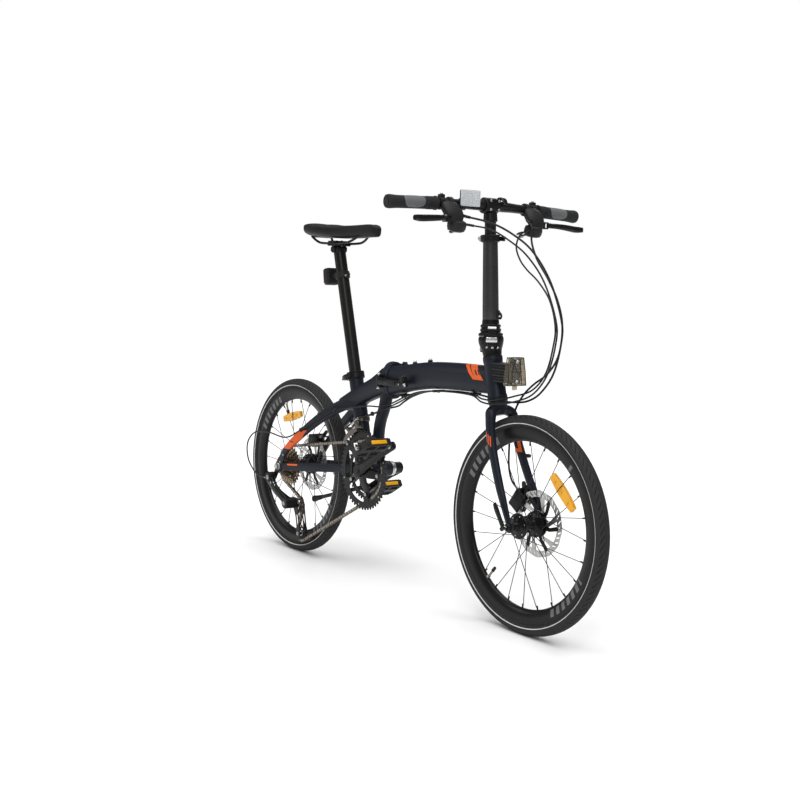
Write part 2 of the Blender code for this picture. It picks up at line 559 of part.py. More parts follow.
def make_fork():
    crown_low = on_axis(STEER_POINT, STEER_DIRECTION, -0.0920)
    race = on_axis(STEER_POINT, STEER_DIRECTION, -0.0580)
    steerer_top = on_axis(STEER_POINT, STEER_DIRECTION, 0.0760)
    fork = rod("fork", race - STEER_DIRECTION * 0.004, steerer_top, STEERER_RADIUS, sides=14)
    pieces = [rod("fork_crown", crown_low + STEER_DIRECTION * 0.006, race, 0.0212, sides=14)]
    blade = [(0.3905, 0.0100, 0.5165), (0.3925, 0.0240, 0.5145), (0.3980, 0.0345, 0.5040),
             (0.4040, 0.0385, 0.4730), (0.4150, 0.0415, 0.4380), (0.4320, 0.0450, 0.3980),
             (0.4530, 0.0485, 0.3530), (0.4710, 0.0515, 0.3200), (0.4990, 0.0525, 0.2640)]
    halves = [(0.0150, 0.0125), (0.0150, 0.0125), (0.0140, 0.0110), (0.0125, 0.0095), (0.0118, 0.0088),
              (0.0114, 0.0084), (0.0110, 0.0080), (0.0104, 0.0072), (0.0085, 0.0030)]
    for label, side in (("left", 1), ("right", -1)):
        path = blade if side > 0 else mirrored_y(blade)
        pieces.append(loft(f"blade_{label}", path, halves, oval(10), side=X_AXIS))
        centre = FRONT_AXLE + side * (FRONT_DROPOUT_Y + DROPOUT_THICKNESS / 2) * Y_AXIS
        pieces.append(rod(f"fork_end_{label}", centre - 0.003 * Y_AXIS, centre + 0.003 * Y_AXIS, 0.0135,
                          sides=14))
    join(fork, *pieces)
    cut(fork, rod("front_axle_bore", FRONT_AXLE - 0.08 * Y_AXIS, FRONT_AXLE + 0.08 * Y_AXIS, 0.0055,
                  sides=12))
    return fork


def make_post_base():
    """Lower half of the handlepost hinge, clamped on the steerer."""
    low = on_axis(STEER_POINT, STEER_DIRECTION, 0.0570)
    path = [low, on_axis(STEER_POINT, STEER_DIRECTION, 0.0720), POST_FOOT - POST_DIRECTION * 0.0150,
            POST_FOOT - POST_DIRECTION * 0.0004]
    halves = [(0.0225, 0.0225), (0.0265, 0.0255), (0.0300, 0.0300), (0.0285, 0.0285)]
    base = loft("handlepost_base", path, halves, oval(14))
    cut(base, rod("steerer_bore", on_axis(STEER_POINT, STEER_DIRECTION, 0.04),
                  on_axis(STEER_POINT, STEER_DIRECTION, 0.0765), STEERER_RADIUS + 0.0004, sides=18))
    hinge = post_hinge_point()
    along = Vector((1, 1, 0)).normalized()
    inward = Vector((1, -1, 0)).normalized()
    ear = block("base_ear", hinge + inward * 0.0090 - Z_AXIS * 0.0082, (0.0190, 0.0170, 0.0110),
                (0, 0, math.radians(-45)))
    knuckle = rod("base_knuckle", hinge - along * 0.0095, hinge + along * 0.0095, 0.0063, sides=12)
    join(base, ear, knuckle)
    cut(base, rod("base_pin_bore", hinge - along * 0.03, hinge + along * 0.03, 0.0030, sides=10))
    return base


def post_hinge_point():
    return POST_FOOT + Vector((-1, 1, 0)).normalized() * POST_HINGE_OFFSET


def make_handlepost():
    """Folding post: a foot with ribs, a tapered tube, and the pin of its hinge."""
    foot = POST_FOOT + POST_DIRECTION * 0.0004
    marks = [0.0000, 0.0160, 0.0200, 0.0260, 0.0285, 0.0310, 0.0350, 0.0375, 0.1200, POST_LENGTH]
    radii = [0.0285, 0.0275, 0.0235, 0.0230, 0.0215, 0.0235, 0.0235, 0.0195, 0.0188, 0.01725]
    post = loft("handlepost", [on_axis(foot, POST_DIRECTION, m) for m in marks], [(r, r) for r in radii],
                oval(14))
    cut(post, rod("stem_bore", on_axis(foot, POST_DIRECTION, 0.0900),
                  on_axis(foot, POST_DIRECTION, POST_LENGTH + 0.02), STEM_RADIUS + 0.0005, sides=18))
    hinge = post_hinge_point()
    along = Vector((1, 1, 0)).normalized()
    inward = Vector((1, -1, 0)).normalized()
    pieces = [rod("post_pin", hinge - along * 0.0200, hinge + along * 0.0200, 0.0026, sides=10)]
    for label, side in (("front", 1), ("back", -1)):
        start = hinge + along * side * 0.0100
        pieces.append(rod(f"post_knuckle_{label}", start, start + along * side * 0.0095, 0.0063, sides=12))
        ear = start + along * side * 0.0048 + inward * 0.0100 + Z_AXIS * 0.0060
        pieces.append(block(f"post_ear_{label}", ear, (0.0210, 0.0085, 0.0110), (0, 0, math.radians(-45))))
    join(post, *pieces)
    return post


def make_post_latch():
    """Flat lever on the front right of the post's foot."""
    outward = Vector((0.80, -0.60, 0)).normalized()
    centre = POST_FOOT + outward * 0.0352 + Z_AXIS * 0.0030
    turn = (0, 0, math.atan2(outward.y, outward.x))
    latch = block("handlepost_latch", centre, (0.0055, 0.0240, 0.0420), turn, rounding=0.0015)
    join(latch, block("latch_toe", centre - Z_AXIS * 0.0215, (0.0080, 0.0180, 0.0080), turn))
    return latch, centre


def make_steering():
    base = make_post_base()
    fork = make_fork()
    front_axle = axle_rod("front_axle", FRONT_AXLE, 0.0595, 0.0665)
    caliper = block("front_caliper", (0.4350, 0.0375, 0.3000), (0.0300, 0.0210, 0.0460),
                    (0, math.radians(35), 0), rounding=0.003)
    cut(caliper, rod("front_disc_slot", FRONT_AXLE + (FRONT_DISC_Y - 0.0023) * Y_AXIS,
                     FRONT_AXLE + (FRONT_DISC_Y + 0.0023) * Y_AXIS, DISC_RADIUS + 0.002, sides=36))
    attach(NAVY, "steering_axis", STEER_POINT, [fork])
    attach(BLACK, "steering_axis", STEER_POINT, [base, caliper])
    attach(STEEL, "steering_axis", STEER_POINT, [front_axle])
    lever_pivot = FRONT_AXLE + Vector((0, -0.0718, 0))
    cam_axis = Vector((0.83, 0, 0.558)).normalized()
    lever = rod("front_qr_lever", lever_pivot - cam_axis * 0.0080, lever_pivot + cam_axis * 0.0080, 0.0050,
                sides=12)
    join(lever, loft("qr_blade", [lever_pivot + Vector(p) for p in
                                  ((0, 0, 0), (-0.0120, -0.0010, 0.0200), (-0.0260, -0.0005, 0.0400),
                                   (-0.0350, 0.0010, 0.0520))],
                     [(0.0060, 0.0035), (0.0060, 0.0030), (0.0070, 0.0025), (0.0050, 0.0020)], oval(8, 3.0),
                     side=X_AXIS))
    attach(BLACK, "front_qr_axis", lever_pivot, [lever])
    hinge = post_hinge_point()
    post = make_handlepost()
    collar_centre = on_axis(POST_FOOT, POST_DIRECTION, POST_LENGTH - 0.0090)
    collar = ring("handlepost_collar", collar_centre, POST_DIRECTION, 0.0181, 0.0222, 0.0085, 20)
    join(collar, block("collar_ear", collar_centre + Vector((-0.0265, 0, 0)), (0.0120, 0.0150, 0.0140)))
    attach(GREY, "handlepost_axis", hinge, [post])
    attach(BLACK, "handlepost_axis", hinge, [collar])
    latch, latch_centre = make_post_latch()
    attach(STEEL, "handlepost_latch_axis", latch_centre + 0.018 * Z_AXIS, [latch])


# ---------------------------------------------------------------- cockpit

def bar_tube(name):
    points = [(p, r) for p, r in ((BAR_END, BAR_RADIUS), (BAR_STRAIGHT, BAR_RADIUS),
                                  (Vector((0.3185, 0.085, 0.9980)), BAR_RADIUS),
                                  (Vector((BAR_CENTRE.x, 0.045, BAR_CENTRE.z)), BAR_CENTRE_RADIUS))]
    other = [(Vector((p.x, -p.y, p.z)), r) for p, r in reversed(points)]
    path = points + other
    return loft(name, [p for p, _ in path], [(r, r) for _, r in path], oval(14), side=X_AXIS)


def side_copy(point, side):
    return Vector((point[0], point[1] * side, point[2]))


def bar_point(distance, side):
    """Point on the straight part of the bar, and the outward direction there."""
    start, end = side_copy(BAR_STRAIGHT, side), side_copy(BAR_END, side)
    direction = (end - start).normalized()
    return start + direction * (distance - BAR_STRAIGHT.y), direction


def make_grip(label, side):
    start, direction = bar_point(0.1580, side)
    bore, outline = BAR_RADIUS + 0.0005, []
    for r, h in ((0.0135, 0.1365), (0.0160, 0.1340), (0.0158, 0.1220), (0.0144, 0.1080), (0.0142, 0.0500),
                 (0.0144, 0.0060), (0.0165, 0.0045), (0.0165, 0.0000), (bore, 0.0000), (bore, 0.1330)):
        outline.append((r, h))
    mesh = bpy.data.meshes.new(f"grip_{label}")
    outline = [(0, 0.1365)] + outline + [(0, 0.1330)]
    mesh.from_pydata([(r, 0, h) for r, h in outline], [(i, i + 1) for i in range(len(outline) - 1)], [])
    grip = place(bpy.data.objects.new(f"grip_{label}", mesh), PARTS)
    screw = grip.modifiers.new("Turn", "SCREW")
    screw.steps = 12
    screw.render_steps = 12
    screw.use_merge_vertices = True
    screw.merge_threshold = 0.00001
    grip.location = start
    grip.rotation_euler = aligned(direction)
    return grip


def make_control(label, side):
    """Brake lever bracket with its gear shifter pod."""
    centre, direction = bar_point(0.1300, side)
    body = rod(f"control_{label}", centre - direction * 0.0230, centre + direction * 0.0230, 0.0155, sides=16)
    cover = loft(f"control_cover_{label}",
                 [side_copy(p, side) for p in ((0.3270, 0.1290, 0.9900), (0.3440, 0.1270, 0.9720),
                                               (0.3540, 0.1260, 0.9560))],
                 [(0.0200, 0.0130), (0.0210, 0.0110), (0.0170, 0.0080)], oval(10, 3.0))
    pod = rod(f"shifter_pod_{label}", side_copy((0.3460, 0.1200, 0.9340), side),
              side_copy((0.3510, 0.1200, 0.9560), side), 0.0195, sides=16)
    fork_pad = block(f"lever_fork_{label}", side_copy((0.3520, 0.1460, 0.9600), side),
                     (0.0160, 0.0160, 0.0150))
    join(body, cover, pod, fork_pad)
    cut(body, rod(f"bar_bore_{label}", centre - direction * 0.05, centre + direction * 0.05,
                  BAR_RADIUS + 0.0005, sides=16))
    return body


def lever_pivot(side):
    return side_copy((0.3600, 0.1620, 0.9600), side)


def make_brake_lever(label, side):
    pivot = lever_pivot(side)
    lever = rod(f"brake_lever_{label}", pivot - Z_AXIS * 0.0055, pivot + Z_AXIS * 0.0055, 0.0070, sides=12)
    blade = loft(f"lever_blade_{label}",
                 [side_copy(p, side) for p in ((0.3600, 0.1620, 0.9600), (0.3720, 0.1820, 0.9590),
                                               (0.3745, 0.2100, 0.9570), (0.3690, 0.2400, 0.9550),
                                               (0.3740, 0.2600, 0.9550))],
                 [(0.0055, 0.0045), (0.0050, 0.0042), (0.0045, 0.0042), (0.0045, 0.0042), (0.0050, 0.0045)],
                 oval(8), side=X_AXIS)
    return join(lever, blade)


def make_cockpit():
    stem_top = on_axis(POST_FOOT, POST_DIRECTION, 0.2990)
    stem = rod("stem_post", on_axis(POST_FOOT, POST_DIRECTION, 0.1300), stem_top, STEM_RADIUS, sides=18)
    clamp = rod("bar_clamp", BAR_CENTRE - 0.0200 * Y_AXIS, BAR_CENTRE + 0.0200 * Y_AXIS, 0.0185, sides=18)
    join(stem, clamp)
    cut(stem, rod("clamp_bore", BAR_CENTRE - 0.05 * Y_AXIS, BAR_CENTRE + 0.05 * Y_AXIS,
                  BAR_CENTRE_RADIUS + 0.0006, sides=18))
    pivot = on_axis(POST_FOOT, POST_DIRECTION, POST_LENGTH)
    attach(GREY, "stem_slide_axis", pivot, [stem])
    attach(BLACK, "stem_slide_axis", pivot, [bar_tube("handlebar")])
    for label, side in (("left", 1), ("right", -1)):
        attach(RUBBER, "stem_slide_axis", pivot, [make_grip(label, side)])
        attach(PLASTIC, "stem_slide_axis", pivot, [make_control(label, side)])
        attach(BLACK, f"brake_lever_{label}_axis", lever_pivot(side), [make_brake_lever(label, side)])


# ---------------------------------------------------------------- seat

def make_seat():
    top = on_axis(SEAT_POINT, SEAT_DIRECTION, SEATPOST_TOP)
    post = rod("seatpost", on_axis(SEAT_POINT, SEAT_DIRECTION, SEATPOST_TOP - SEATPOST_LENGTH), top,
               SEATPOST_RADIUS, sides=20)
    join(post, block("seat_head", top + Vector((-0.0020, 0, 0.0010)), (0.0420, 0.0360, 0.0200),
                     rounding=0.003))
    rail = [(-0.4130, 0.0330, 0.9330), (-0.3920, 0.0270, 0.9190), (-0.3640, 0.0225, 0.9135),
            (-0.2650, 0.0225, 0.9135), (-0.2300, 0.0215, 0.9190), (-0.2000, 0.0150, 0.9330),
            (-0.1930, 0.0070, 0.9352)]
    rails = tube("saddle_rails", rail + mirrored_y(reversed(rail)), 0.0034, 0.030)
    rails = meshed(rails)
    lamp_ring = on_axis(SEAT_POINT, SEAT_DIRECTION, 0.5430)
    lamp = block("tail_light", (-0.3570, 0, 0.8200), (0.0300, 0.0420, 0.0480), (0, math.radians(-8), 0),
                 rounding=0.004)
    join(lamp, rod("lamp_band", lamp_ring - SEAT_DIRECTION * 0.0090, lamp_ring + SEAT_DIRECTION * 0.0090,
                   0.0208, sides=20),
         block("lamp_arm", (-0.3300, 0, 0.8220), (0.0400, 0.0140, 0.0150)))
    cut(lamp, rod("lamp_bore", on_axis(SEAT_POINT, SEAT_DIRECTION, 0.50),
                  on_axis(SEAT_POINT, SEAT_DIRECTION, 0.59), SEATPOST_RADIUS + 0.0006, sides=20))
    attach(GREY, "seatpost_axis", top, [post])
    attach(STEEL, "seatpost_axis", top, [rails])
    attach(PLASTIC, "seatpost_axis", top, [lamp])
    attach(FOAM, "seatpost_axis", top, [make_saddle()])
    collar_centre = on_axis(SEAT_POINT, SEAT_DIRECTION, SEAT_TUBE_LENGTH - 0.0080)
    collar = ring("seat_clamp", collar_centre, SEAT_DIRECTION, 0.0206, 0.0248, 0.0090, 20)
    ear = collar_centre + Vector((-0.0290, 0, -0.0080))
    join(collar, block("clamp_ear", ear, (0.0130, 0.0180, 0.0140), (0, math.radians(-16), 0)))
    paint(collar, BLACK)
    pivot = ear + Vector((-0.0010, -0.0160, 0))
    lever = rod("seat_clamp_lever", pivot - SEAT_DIRECTION * 0.0065, pivot + SEAT_DIRECTION * 0.0065, 0.0060,
                sides=12)
    join(lever, loft("clamp_blade", [pivot, pivot + Vector((0.0080, -0.0120, 0.0000)),
                                     pivot + Vector((0.0300, -0.0200, 0.0060)),
                                     pivot + Vector((0.0520, -0.0170, 0.0140))],
                     [(0.0060, 0.0035), (0.0060, 0.0030), (0.0065, 0.0028), (0.0050, 0.0022)], oval(8, 3.0),
                     side=Z_AXIS))
    attach(BLACK, "seat_clamp_axis", pivot, [lever])


def make_saddle():
    """Saddle: narrow nose, wide rear, slightly dished top."""
    stations = [(-0.4350, 0.0330, 0.0090, 0.9560), (-0.4200, 0.0620, 0.0130, 0.9530),
                (-0.3850, 0.0700, 0.0145, 0.9520), (-0.3400, 0.0600, 0.0130, 0.9510),
                (-0.2900, 0.0400, 0.0120, 0.9500), (-0.2300, 0.0240, 0.0120, 0.9500),
                (-0.1700, 0.0185, 0.0120, 0.9520), (-0.1400, 0.0150, 0.0110, 0.9530),
                (-0.1300, 0.0080, 0.0070, 0.9530)]
    return loft("saddle", [(x, 0, z) for x, _, _, z in stations], [(w, h) for _, w, h, _ in stations],
                oval(14, 2.6))


# ---------------------------------------------------------------- drive

def pitch_radius(teeth):
    return teeth * CHAIN_PITCH / (2 * math.pi)


def crank_arm(name, side, inner_y, outer_y, angle):
    """Arm from the crank axis to the pedal eye, with the pedal axle fixed in it."""
    middle_y = side * (inner_y + outer_y) / 2
    direction = Vector((math.cos(angle), 0, math.sin(angle)))
    start = CRANK_AXIS + middle_y * Y_AXIS
    end = start + direction * CRANK_LENGTH
    half = (outer_y - inner_y) / 2
    arm = loft(name, [start - direction * 0.0150, start + direction * 0.0500, end - direction * 0.0200,
                      end + direction * 0.0130],
               [(half, 0.0160), (half, 0.0140), (half, 0.0125), (half, 0.0110)], oval(10, 3.0))
    axle = rod(f"{name}_pedal_axle", end,
               end + Y_AXIS * side * (PEDAL_Y + PEDAL_SIZE.y / 2 - 0.006 - abs(middle_y)), 0.0045, sides=10)
    return arm, axle


def make_cranks():
    arm, axle = crank_arm("crank_right", -1, 0.0600, 0.0725, CRANK_ANGLE)
    hub = rod("right_hub", CRANK_AXIS - 0.0725 * Y_AXIS, CRANK_AXIS - 0.0380 * Y_AXIS, 0.0170, sides=16)
    spider = rod("spider", CRANK_AXIS - 0.0472 * Y_AXIS, CRANK_AXIS - 0.0444 * Y_AXIS, 0.0690, sides=20)
    join(arm, axle, hub, spider)
    rings = [
        ring("chainring_large", CRANK_AXIS - 0.0490 * Y_AXIS, Y_AXIS, 0.0600,
             pitch_radius(LARGE_RING_TEETH) + TOOTH_HEIGHT, 0.0014, 32),
        ring("chainring_small", CRANK_AXIS + FRONT_CHAIN_Y * Y_AXIS, Y_AXIS, 0.0600,
             pitch_radius(SMALL_RING_TEETH) + TOOTH_HEIGHT, 0.0013, 26)]
    left, left_axle = crank_arm("crank_left", 1, 0.0620, 0.0745, CRANK_ANGLE + math.pi)
    spindle = rod("spindle", CRANK_AXIS - 0.0376 * Y_AXIS, CRANK_AXIS + 0.0650 * Y_AXIS, 0.0095, sides=16)
    boss = rod("left_boss", CRANK_AXIS + 0.0382 * Y_AXIS, CRANK_AXIS + 0.0750 * Y_AXIS, 0.0165, sides=16)
    join(left, left_axle, spindle, boss)
    attach(BLACK, "crank_axis", CRANK_AXIS, [arm, left] + rings)
    bearing = turned("bottom_bracket",
                     [(0.0208, 0.0375), (0.0208, 0.0344), (0.0168, 0.0344), (0.0168, -0.0344),
                      (0.0208, -0.0344), (0.0208, -0.0375), (0.0102, -0.0375), (0.0102, 0.0375)],
                     CRANK_AXIS, Y_AXIS, 18)
    paint(bearing, STEEL)


def make_pedal(label, side, angle):
    direction = Vector((math.cos(angle), 0, math.sin(angle)))
    centre = CRANK_AXIS + direction * CRANK_LENGTH + side * PEDAL_Y * Y_AXIS
    forward = Vector((math.cos(PEDAL_TILT), 0, math.sin(PEDAL_TILT)))
    tilt = (0, -PEDAL_TILT, 0)
    pedal = block(f"pedal_{label}", centre, PEDAL_SIZE, tilt, rounding=0.004)
    cutters = [block(f"pedal_window_{label}_{i}", centre + forward * offset, (0.0160, 0.0540, 0.0400), tilt)
               for i, offset in enumerate((-0.0205, 0.0205))]
    bore_end = centre + Y_AXIS * side * (PEDAL_SIZE.y / 2 - 0.0035)
    cutters.append(rod(f"pedal_bore_{label}", centre - Y_AXIS * side * 0.060, bore_end, 0.0051, sides=12))
    cut(pedal, *cutters)
    attach(PLASTIC, f"pedal_{label}_axis", centre, [pedal])


def make_cassette():
    """Stepped cluster of sprockets, the largest next to the wheel."""
    levels = [(LARGE_COG_TEETH, -0.0312), (24, -0.0360), (19, -0.0420), (SMALL_COG_TEETH, -0.0520)]
    ends = [y for _, y in levels[1:]] + [-0.0630]
    outline = []
    for (teeth, start), end in zip(levels, ends):
        radius = pitch_radius(teeth) + TOOTH_HEIGHT
        outline += [(radius, start), (radius, end)]
    outline += [(0.0168, -0.0630), (0.0168, -0.0312)]
    cassette = turned("cassette", outline, REAR_AXLE, Y_AXIS, 20)
    attach(BRONZE, "cassette_axis", REAR_AXLE, [cassette])


def make_rear_derailleur():
    body = rod("rear_derailleur", (-0.5230, -0.0742, 0.2225), (-0.5230, -0.0960, 0.2225), 0.0130, sides=14)
    arm = loft("derailleur_arm", [(-0.5200, -0.0880, 0.2200), (-0.4980, -0.0850, 0.1950),
                                  (-0.4720, -0.0790, 0.1720), (-0.4480, -0.0740, 0.1580)],
               [(0.0070, 0.0110), (0.0090, 0.0140), (0.0090, 0.0130), (0.0080, 0.0120)], oval(8, 3.0))
    knuckle = rod("derailleur_knuckle", (-0.4460, -0.0480, 0.1560), (-0.4460, -0.0840, 0.1560), 0.0145,
                  sides=14)
    paint(join(body, arm, knuckle), BLACK)
    cage = cage_plate("derailleur_cage", -0.0455)
    inner = cage_plate("cage_inner", -0.0225)
    pins = [rod(f"pulley_pin_{i}", (p.x, -0.0460, p.z), (p.x, -0.0220, p.z), 0.0030, sides=10)
            for i, p in enumerate((UPPER_PULLEY, LOWER_PULLEY))]
    join(cage, inner, *pins)
    attach(BLACK, "cage_axis", Vector((-0.446, -0.0455, 0.156)), [cage])
    for name, centre in (("upper_pulley", UPPER_PULLEY), ("lower_pulley", LOWER_PULLEY)):
        pulley = ring(name, centre, Y_AXIS, 0.0035, pitch_radius(PULLEY_TEETH) - 0.0010, 0.0030, 12)
        attach(PLASTIC, f"{name}_axis", centre, [pulley])


def cage_plate(name, y):
    """Slim plate from above the upper pulley to below the lower one."""
    down = (LOWER_PULLEY - UPPER_PULLEY).normalized()
    start = Vector((UPPER_PULLEY.x, y, UPPER_PULLEY.z)) - down * 0.0160
    end = Vector((LOWER_PULLEY.x, y, LOWER_PULLEY.z)) + down * 0.0130
    middle = start.lerp(end, 0.5)
    return loft(name, [start, start.lerp(end, 0.12), middle, start.lerp(end, 0.90), end],
                [(0.0009, 0.0090), (0.0009, 0.0130), (0.0009, 0.0085), (0.0009, 0.0105), (0.0009, 0.0070)],
                [(-1, -1), (1, -1), (1, 1), (-1, 1)])


def make_front_derailleur():
    """Cage over the large ring, carried by a band on the seat tube."""
    def arc(radius, degrees, y):
        angle = math.radians(degrees)
        return CRANK_AXIS + Vector((radius * math.cos(angle), y, radius * math.sin(angle)))
    angles = (104, 114, 124, 134, 143)
    outer = loft("front_derailleur", [arc(0.1120, a, -0.0562) for a in angles],
                 [(0.0008, h) for h in (0.0080, 0.0100, 0.0110, 0.0110, 0.0095)],
                 [(-1, -1), (1, -1), (1, 1), (-1, 1)])
    inner = loft("fd_inner", [arc(0.1080, a, -0.0355) for a in angles[1:]],
                 [(0.0008, h) for h in (0.0120, 0.0140, 0.0140, 0.0120)],
                 [(-1, -1), (1, -1), (1, 1), (-1, 1)])
    bridge = block("fd_bridge", arc(0.1225, 126, -0.0459), (0.0300, 0.0222, 0.0030),
                   (0, math.radians(-36), 0))
    band_centre = on_axis(SEAT_POINT, SEAT_DIRECTION, 0.1300)
    band = rod("fd_band", band_centre - SEAT_DIRECTION * 0.0070, band_centre + SEAT_DIRECTION * 0.0070,
               0.0238, sides=20)
    link = block("fd_link", (-0.1740, -0.0300, 0.4130), (0.0200, 0.0260, 0.0360))
    join(outer, inner, bridge, band, link)
    cut(outer, rod("fd_bore", band_centre - SEAT_DIRECTION * 0.06, band_centre + SEAT_DIRECTION * 0.04,
                   SEAT_TUBE_RADIUS + 0.0006, sides=20))
    paint(outer, BLACK)


def chain_loop():
    """Centre line of the chain: over the small ring, the large cog and the two pulleys."""
    ring_centre = Vector((CRANK_AXIS.x, CRANK_AXIS.z))
    cog_centre = Vector((REAR_AXLE.x, REAR_AXLE.z))
    wheels = [(ring_centre, pitch_radius(SMALL_RING_TEETH) + 0.0058, 1, FRONT_CHAIN_Y),
              (cog_centre, pitch_radius(LARGE_COG_TEETH) + 0.0058, 1, REAR_CHAIN_Y),
              (Vector((UPPER_PULLEY.x, UPPER_PULLEY.z)), pitch_radius(PULLEY_TEETH) + 0.0014, -1,
               REAR_CHAIN_Y),
              (Vector((LOWER_PULLEY.x, LOWER_PULLEY.z)), pitch_radius(PULLEY_TEETH) + 0.0014, 1,
               REAR_CHAIN_Y)]
    points = []
    count = len(wheels)
    tangents = [tangent_points(wheels[i], wheels[(i + 1) % count]) for i in range(count)]
    for i in range(count):
        centre, radius, sense, y = wheels[i]
        arrive = tangents[i - 1][1] - centre
        leave = tangents[i][0] - centre
        start, end = math.atan2(arrive.y, arrive.x), math.atan2(leave.y, leave.x)
        sweep = (end - start) % (2 * math.pi) if sense > 0 else -((start - end) % (2 * math.pi))
        steps = max(2, round(abs(sweep) / math.radians(13)))
        for k in range(steps + 1):
            angle = start + sweep * k / steps
            points.append(Vector((centre.x + radius * math.cos(angle), y,
                                  centre.y + radius * math.sin(angle))))
    return points


def tangent_points(first, second):
    """Where a belt leaves the first wheel and meets the second; sense is the way it turns."""
    (c1, r1, s1, _), (c2, r2, s2, _) = first, second
    gap = c2 - c1
    distance = gap.length
    along = gap / distance
    across = Vector((-along.y, along.x))
    sine = (s1 * r1 - s2 * r2) / distance
    cosine = math.sqrt(1 - sine * sine)
    normal = along * sine - across * cosine
    return c1 + normal * s1 * r1, c2 + normal * s2 * r2


def make_chain():
    """Plain ribbon that stands clear of the tooth tips."""
    route = chain_loop()
    bm = bmesh.new()
    loops = []
    count = len(route)
    for i, point in enumerate(route):
        tangent = (route[(i + 1) % count] - route[i - 1]).normalized()
        across = (Y_AXIS - tangent * tangent.y).normalized()
        up = across.cross(tangent)
        loops.append([bm.verts.new(point + across * u + up * v)
                      for u, v in ((-0.0024, -0.0014), (0.0024, -0.0014), (0.0024, 0.0014),
                                   (-0.0024, 0.0014))])
    for i in range(count):
        lower, upper = loops[i], loops[(i + 1) % count]
        for k in range(4):
            bm.faces.new((lower[k], lower[(k + 1) % 4], upper[(k + 1) % 4], upper[k]))
    paint(mesh_object("chain", bm), BRONZE)


# ---------------------------------------------------------------- small root pieces

def make_rear_caliper():
    caliper = block("rear_caliper", (-0.4900, 0.0465, 0.3340), (0.0300, 0.0190, 0.0440),
                    (0, math.radians(82), 0), rounding=0.003)
    cut(caliper, rod("rear_disc_slot", REAR_AXLE + (REAR_DISC_Y - 0.0023) * Y_AXIS,
                     REAR_AXLE + (REAR_DISC_Y + 0.0023) * Y_AXIS, DISC_RADIUS + 0.002, sides=36))
    paint(caliper, BLACK)


def make_main_latch():
    """Lever on the right of the main hinge, with its round knob."""
    pivot = Vector((-0.0530, -0.0395, 0.5480))
    lever = rod("frame_latch_lever", pivot - 0.0160 * Z_AXIS, pivot + 0.0160 * Z_AXIS, 0.0058, sides=12)
    arm = loft("latch_arm", [pivot, (-0.0200, -0.0405, 0.5478), (0.0250, -0.0395, 0.5485),
                             (0.0680, -0.0385, 0.5500)],
               [(0.0040, 0.0095), (0.0040, 0.0090), (0.0038, 0.0090), (0.0032, 0.0080)], oval(8, 3.0))
    knob = rod("latch_knob", (0.0570, -0.0470, 0.5630), (0.0570, -0.0350, 0.5630), 0.0105, sides=14)
    join(lever, arm, knob)
    attach(BLACK, "frame_latch_axis", pivot, [lever])


def make_kickstand():
    head = rod("kickstand", STAND_PIVOT, STAND_PIVOT + STAND_AXIS * 0.0140, 0.0105, sides=14)
    start = STAND_PIVOT + STAND_AXIS * 0.0080
    foot = start + STAND_LENGTH * Vector((-0.9585, 0, -0.2850))
    leg = loft("stand_leg", [start, start.lerp(foot, 0.15), start.lerp(foot, 0.88), foot],
               [(0.0055, 0.0080), (0.0058, 0.0065), (0.0062, 0.0066), (0.0078, 0.0085)], oval(10))
    join(head, leg)
    attach(BLACK, "kickstand_axis", STAND_PIVOT, [head])


def make_cables():
    for name, (radius, route) in CABLE_ROUTES.items():
        paint(tube(name, route, radius, 0.040), PLASTIC)


for _object in list(bpy.data.objects):
    bpy.data.objects.remove(_object, do_unlink=True)
PARTS = new_collection("folding_bicycle")
CUTTERS = new_collection("cutters")
EMPTIES = {}

make_rear_frame()
make_front_frame()
make_steering()
make_cockpit()
make_seat()
make_wheels()
paint(axle_rod("rear_axle", REAR_AXLE, 0.0742, 0.0825), STEEL)
make_cranks()
make_pedal("right", -1, CRANK_ANGLE)
make_pedal("left", 1, CRANK_ANGLE + math.pi)
make_cassette()
make_rear_derailleur()
make_front_derailleur()
make_chain()
make_rear_caliper()
make_main_latch()
make_kickstand()
make_cables()
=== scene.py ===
"""The look of a folding bicycle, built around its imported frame.

Units are metres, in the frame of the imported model: +X points forward, +Y to the rider's left,
+Z up, and the ground is z = 0. Shapes are made as meshes, gathered into named pieces, and each
piece rides on the body that carries it.
"""

import json
import math

import bmesh
import bpy
from mathutils import Matrix, Vector


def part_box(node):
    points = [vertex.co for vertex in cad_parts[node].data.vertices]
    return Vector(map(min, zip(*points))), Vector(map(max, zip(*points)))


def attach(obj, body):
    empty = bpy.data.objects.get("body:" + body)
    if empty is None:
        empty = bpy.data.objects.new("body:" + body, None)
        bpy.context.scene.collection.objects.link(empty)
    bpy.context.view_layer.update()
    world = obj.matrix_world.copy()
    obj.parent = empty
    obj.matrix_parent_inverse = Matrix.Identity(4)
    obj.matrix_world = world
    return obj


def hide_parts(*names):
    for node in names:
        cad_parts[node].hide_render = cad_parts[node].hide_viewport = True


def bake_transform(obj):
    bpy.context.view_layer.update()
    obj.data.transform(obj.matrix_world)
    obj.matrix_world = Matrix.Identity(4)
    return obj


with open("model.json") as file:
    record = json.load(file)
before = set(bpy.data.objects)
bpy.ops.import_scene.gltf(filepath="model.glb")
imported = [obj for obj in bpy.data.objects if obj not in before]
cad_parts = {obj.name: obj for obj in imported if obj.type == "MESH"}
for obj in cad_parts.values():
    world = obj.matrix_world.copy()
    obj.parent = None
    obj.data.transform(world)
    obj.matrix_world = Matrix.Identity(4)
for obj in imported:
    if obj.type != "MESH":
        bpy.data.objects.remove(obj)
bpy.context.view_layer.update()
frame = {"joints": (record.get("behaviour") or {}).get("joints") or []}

X_AXIS = Vector((1, 0, 0))
Y_AXIS = Vector((0, 1, 0))
Z_AXIS = Vector((0, 0, 1))
SIDES = (("left", 1), ("right", -1))
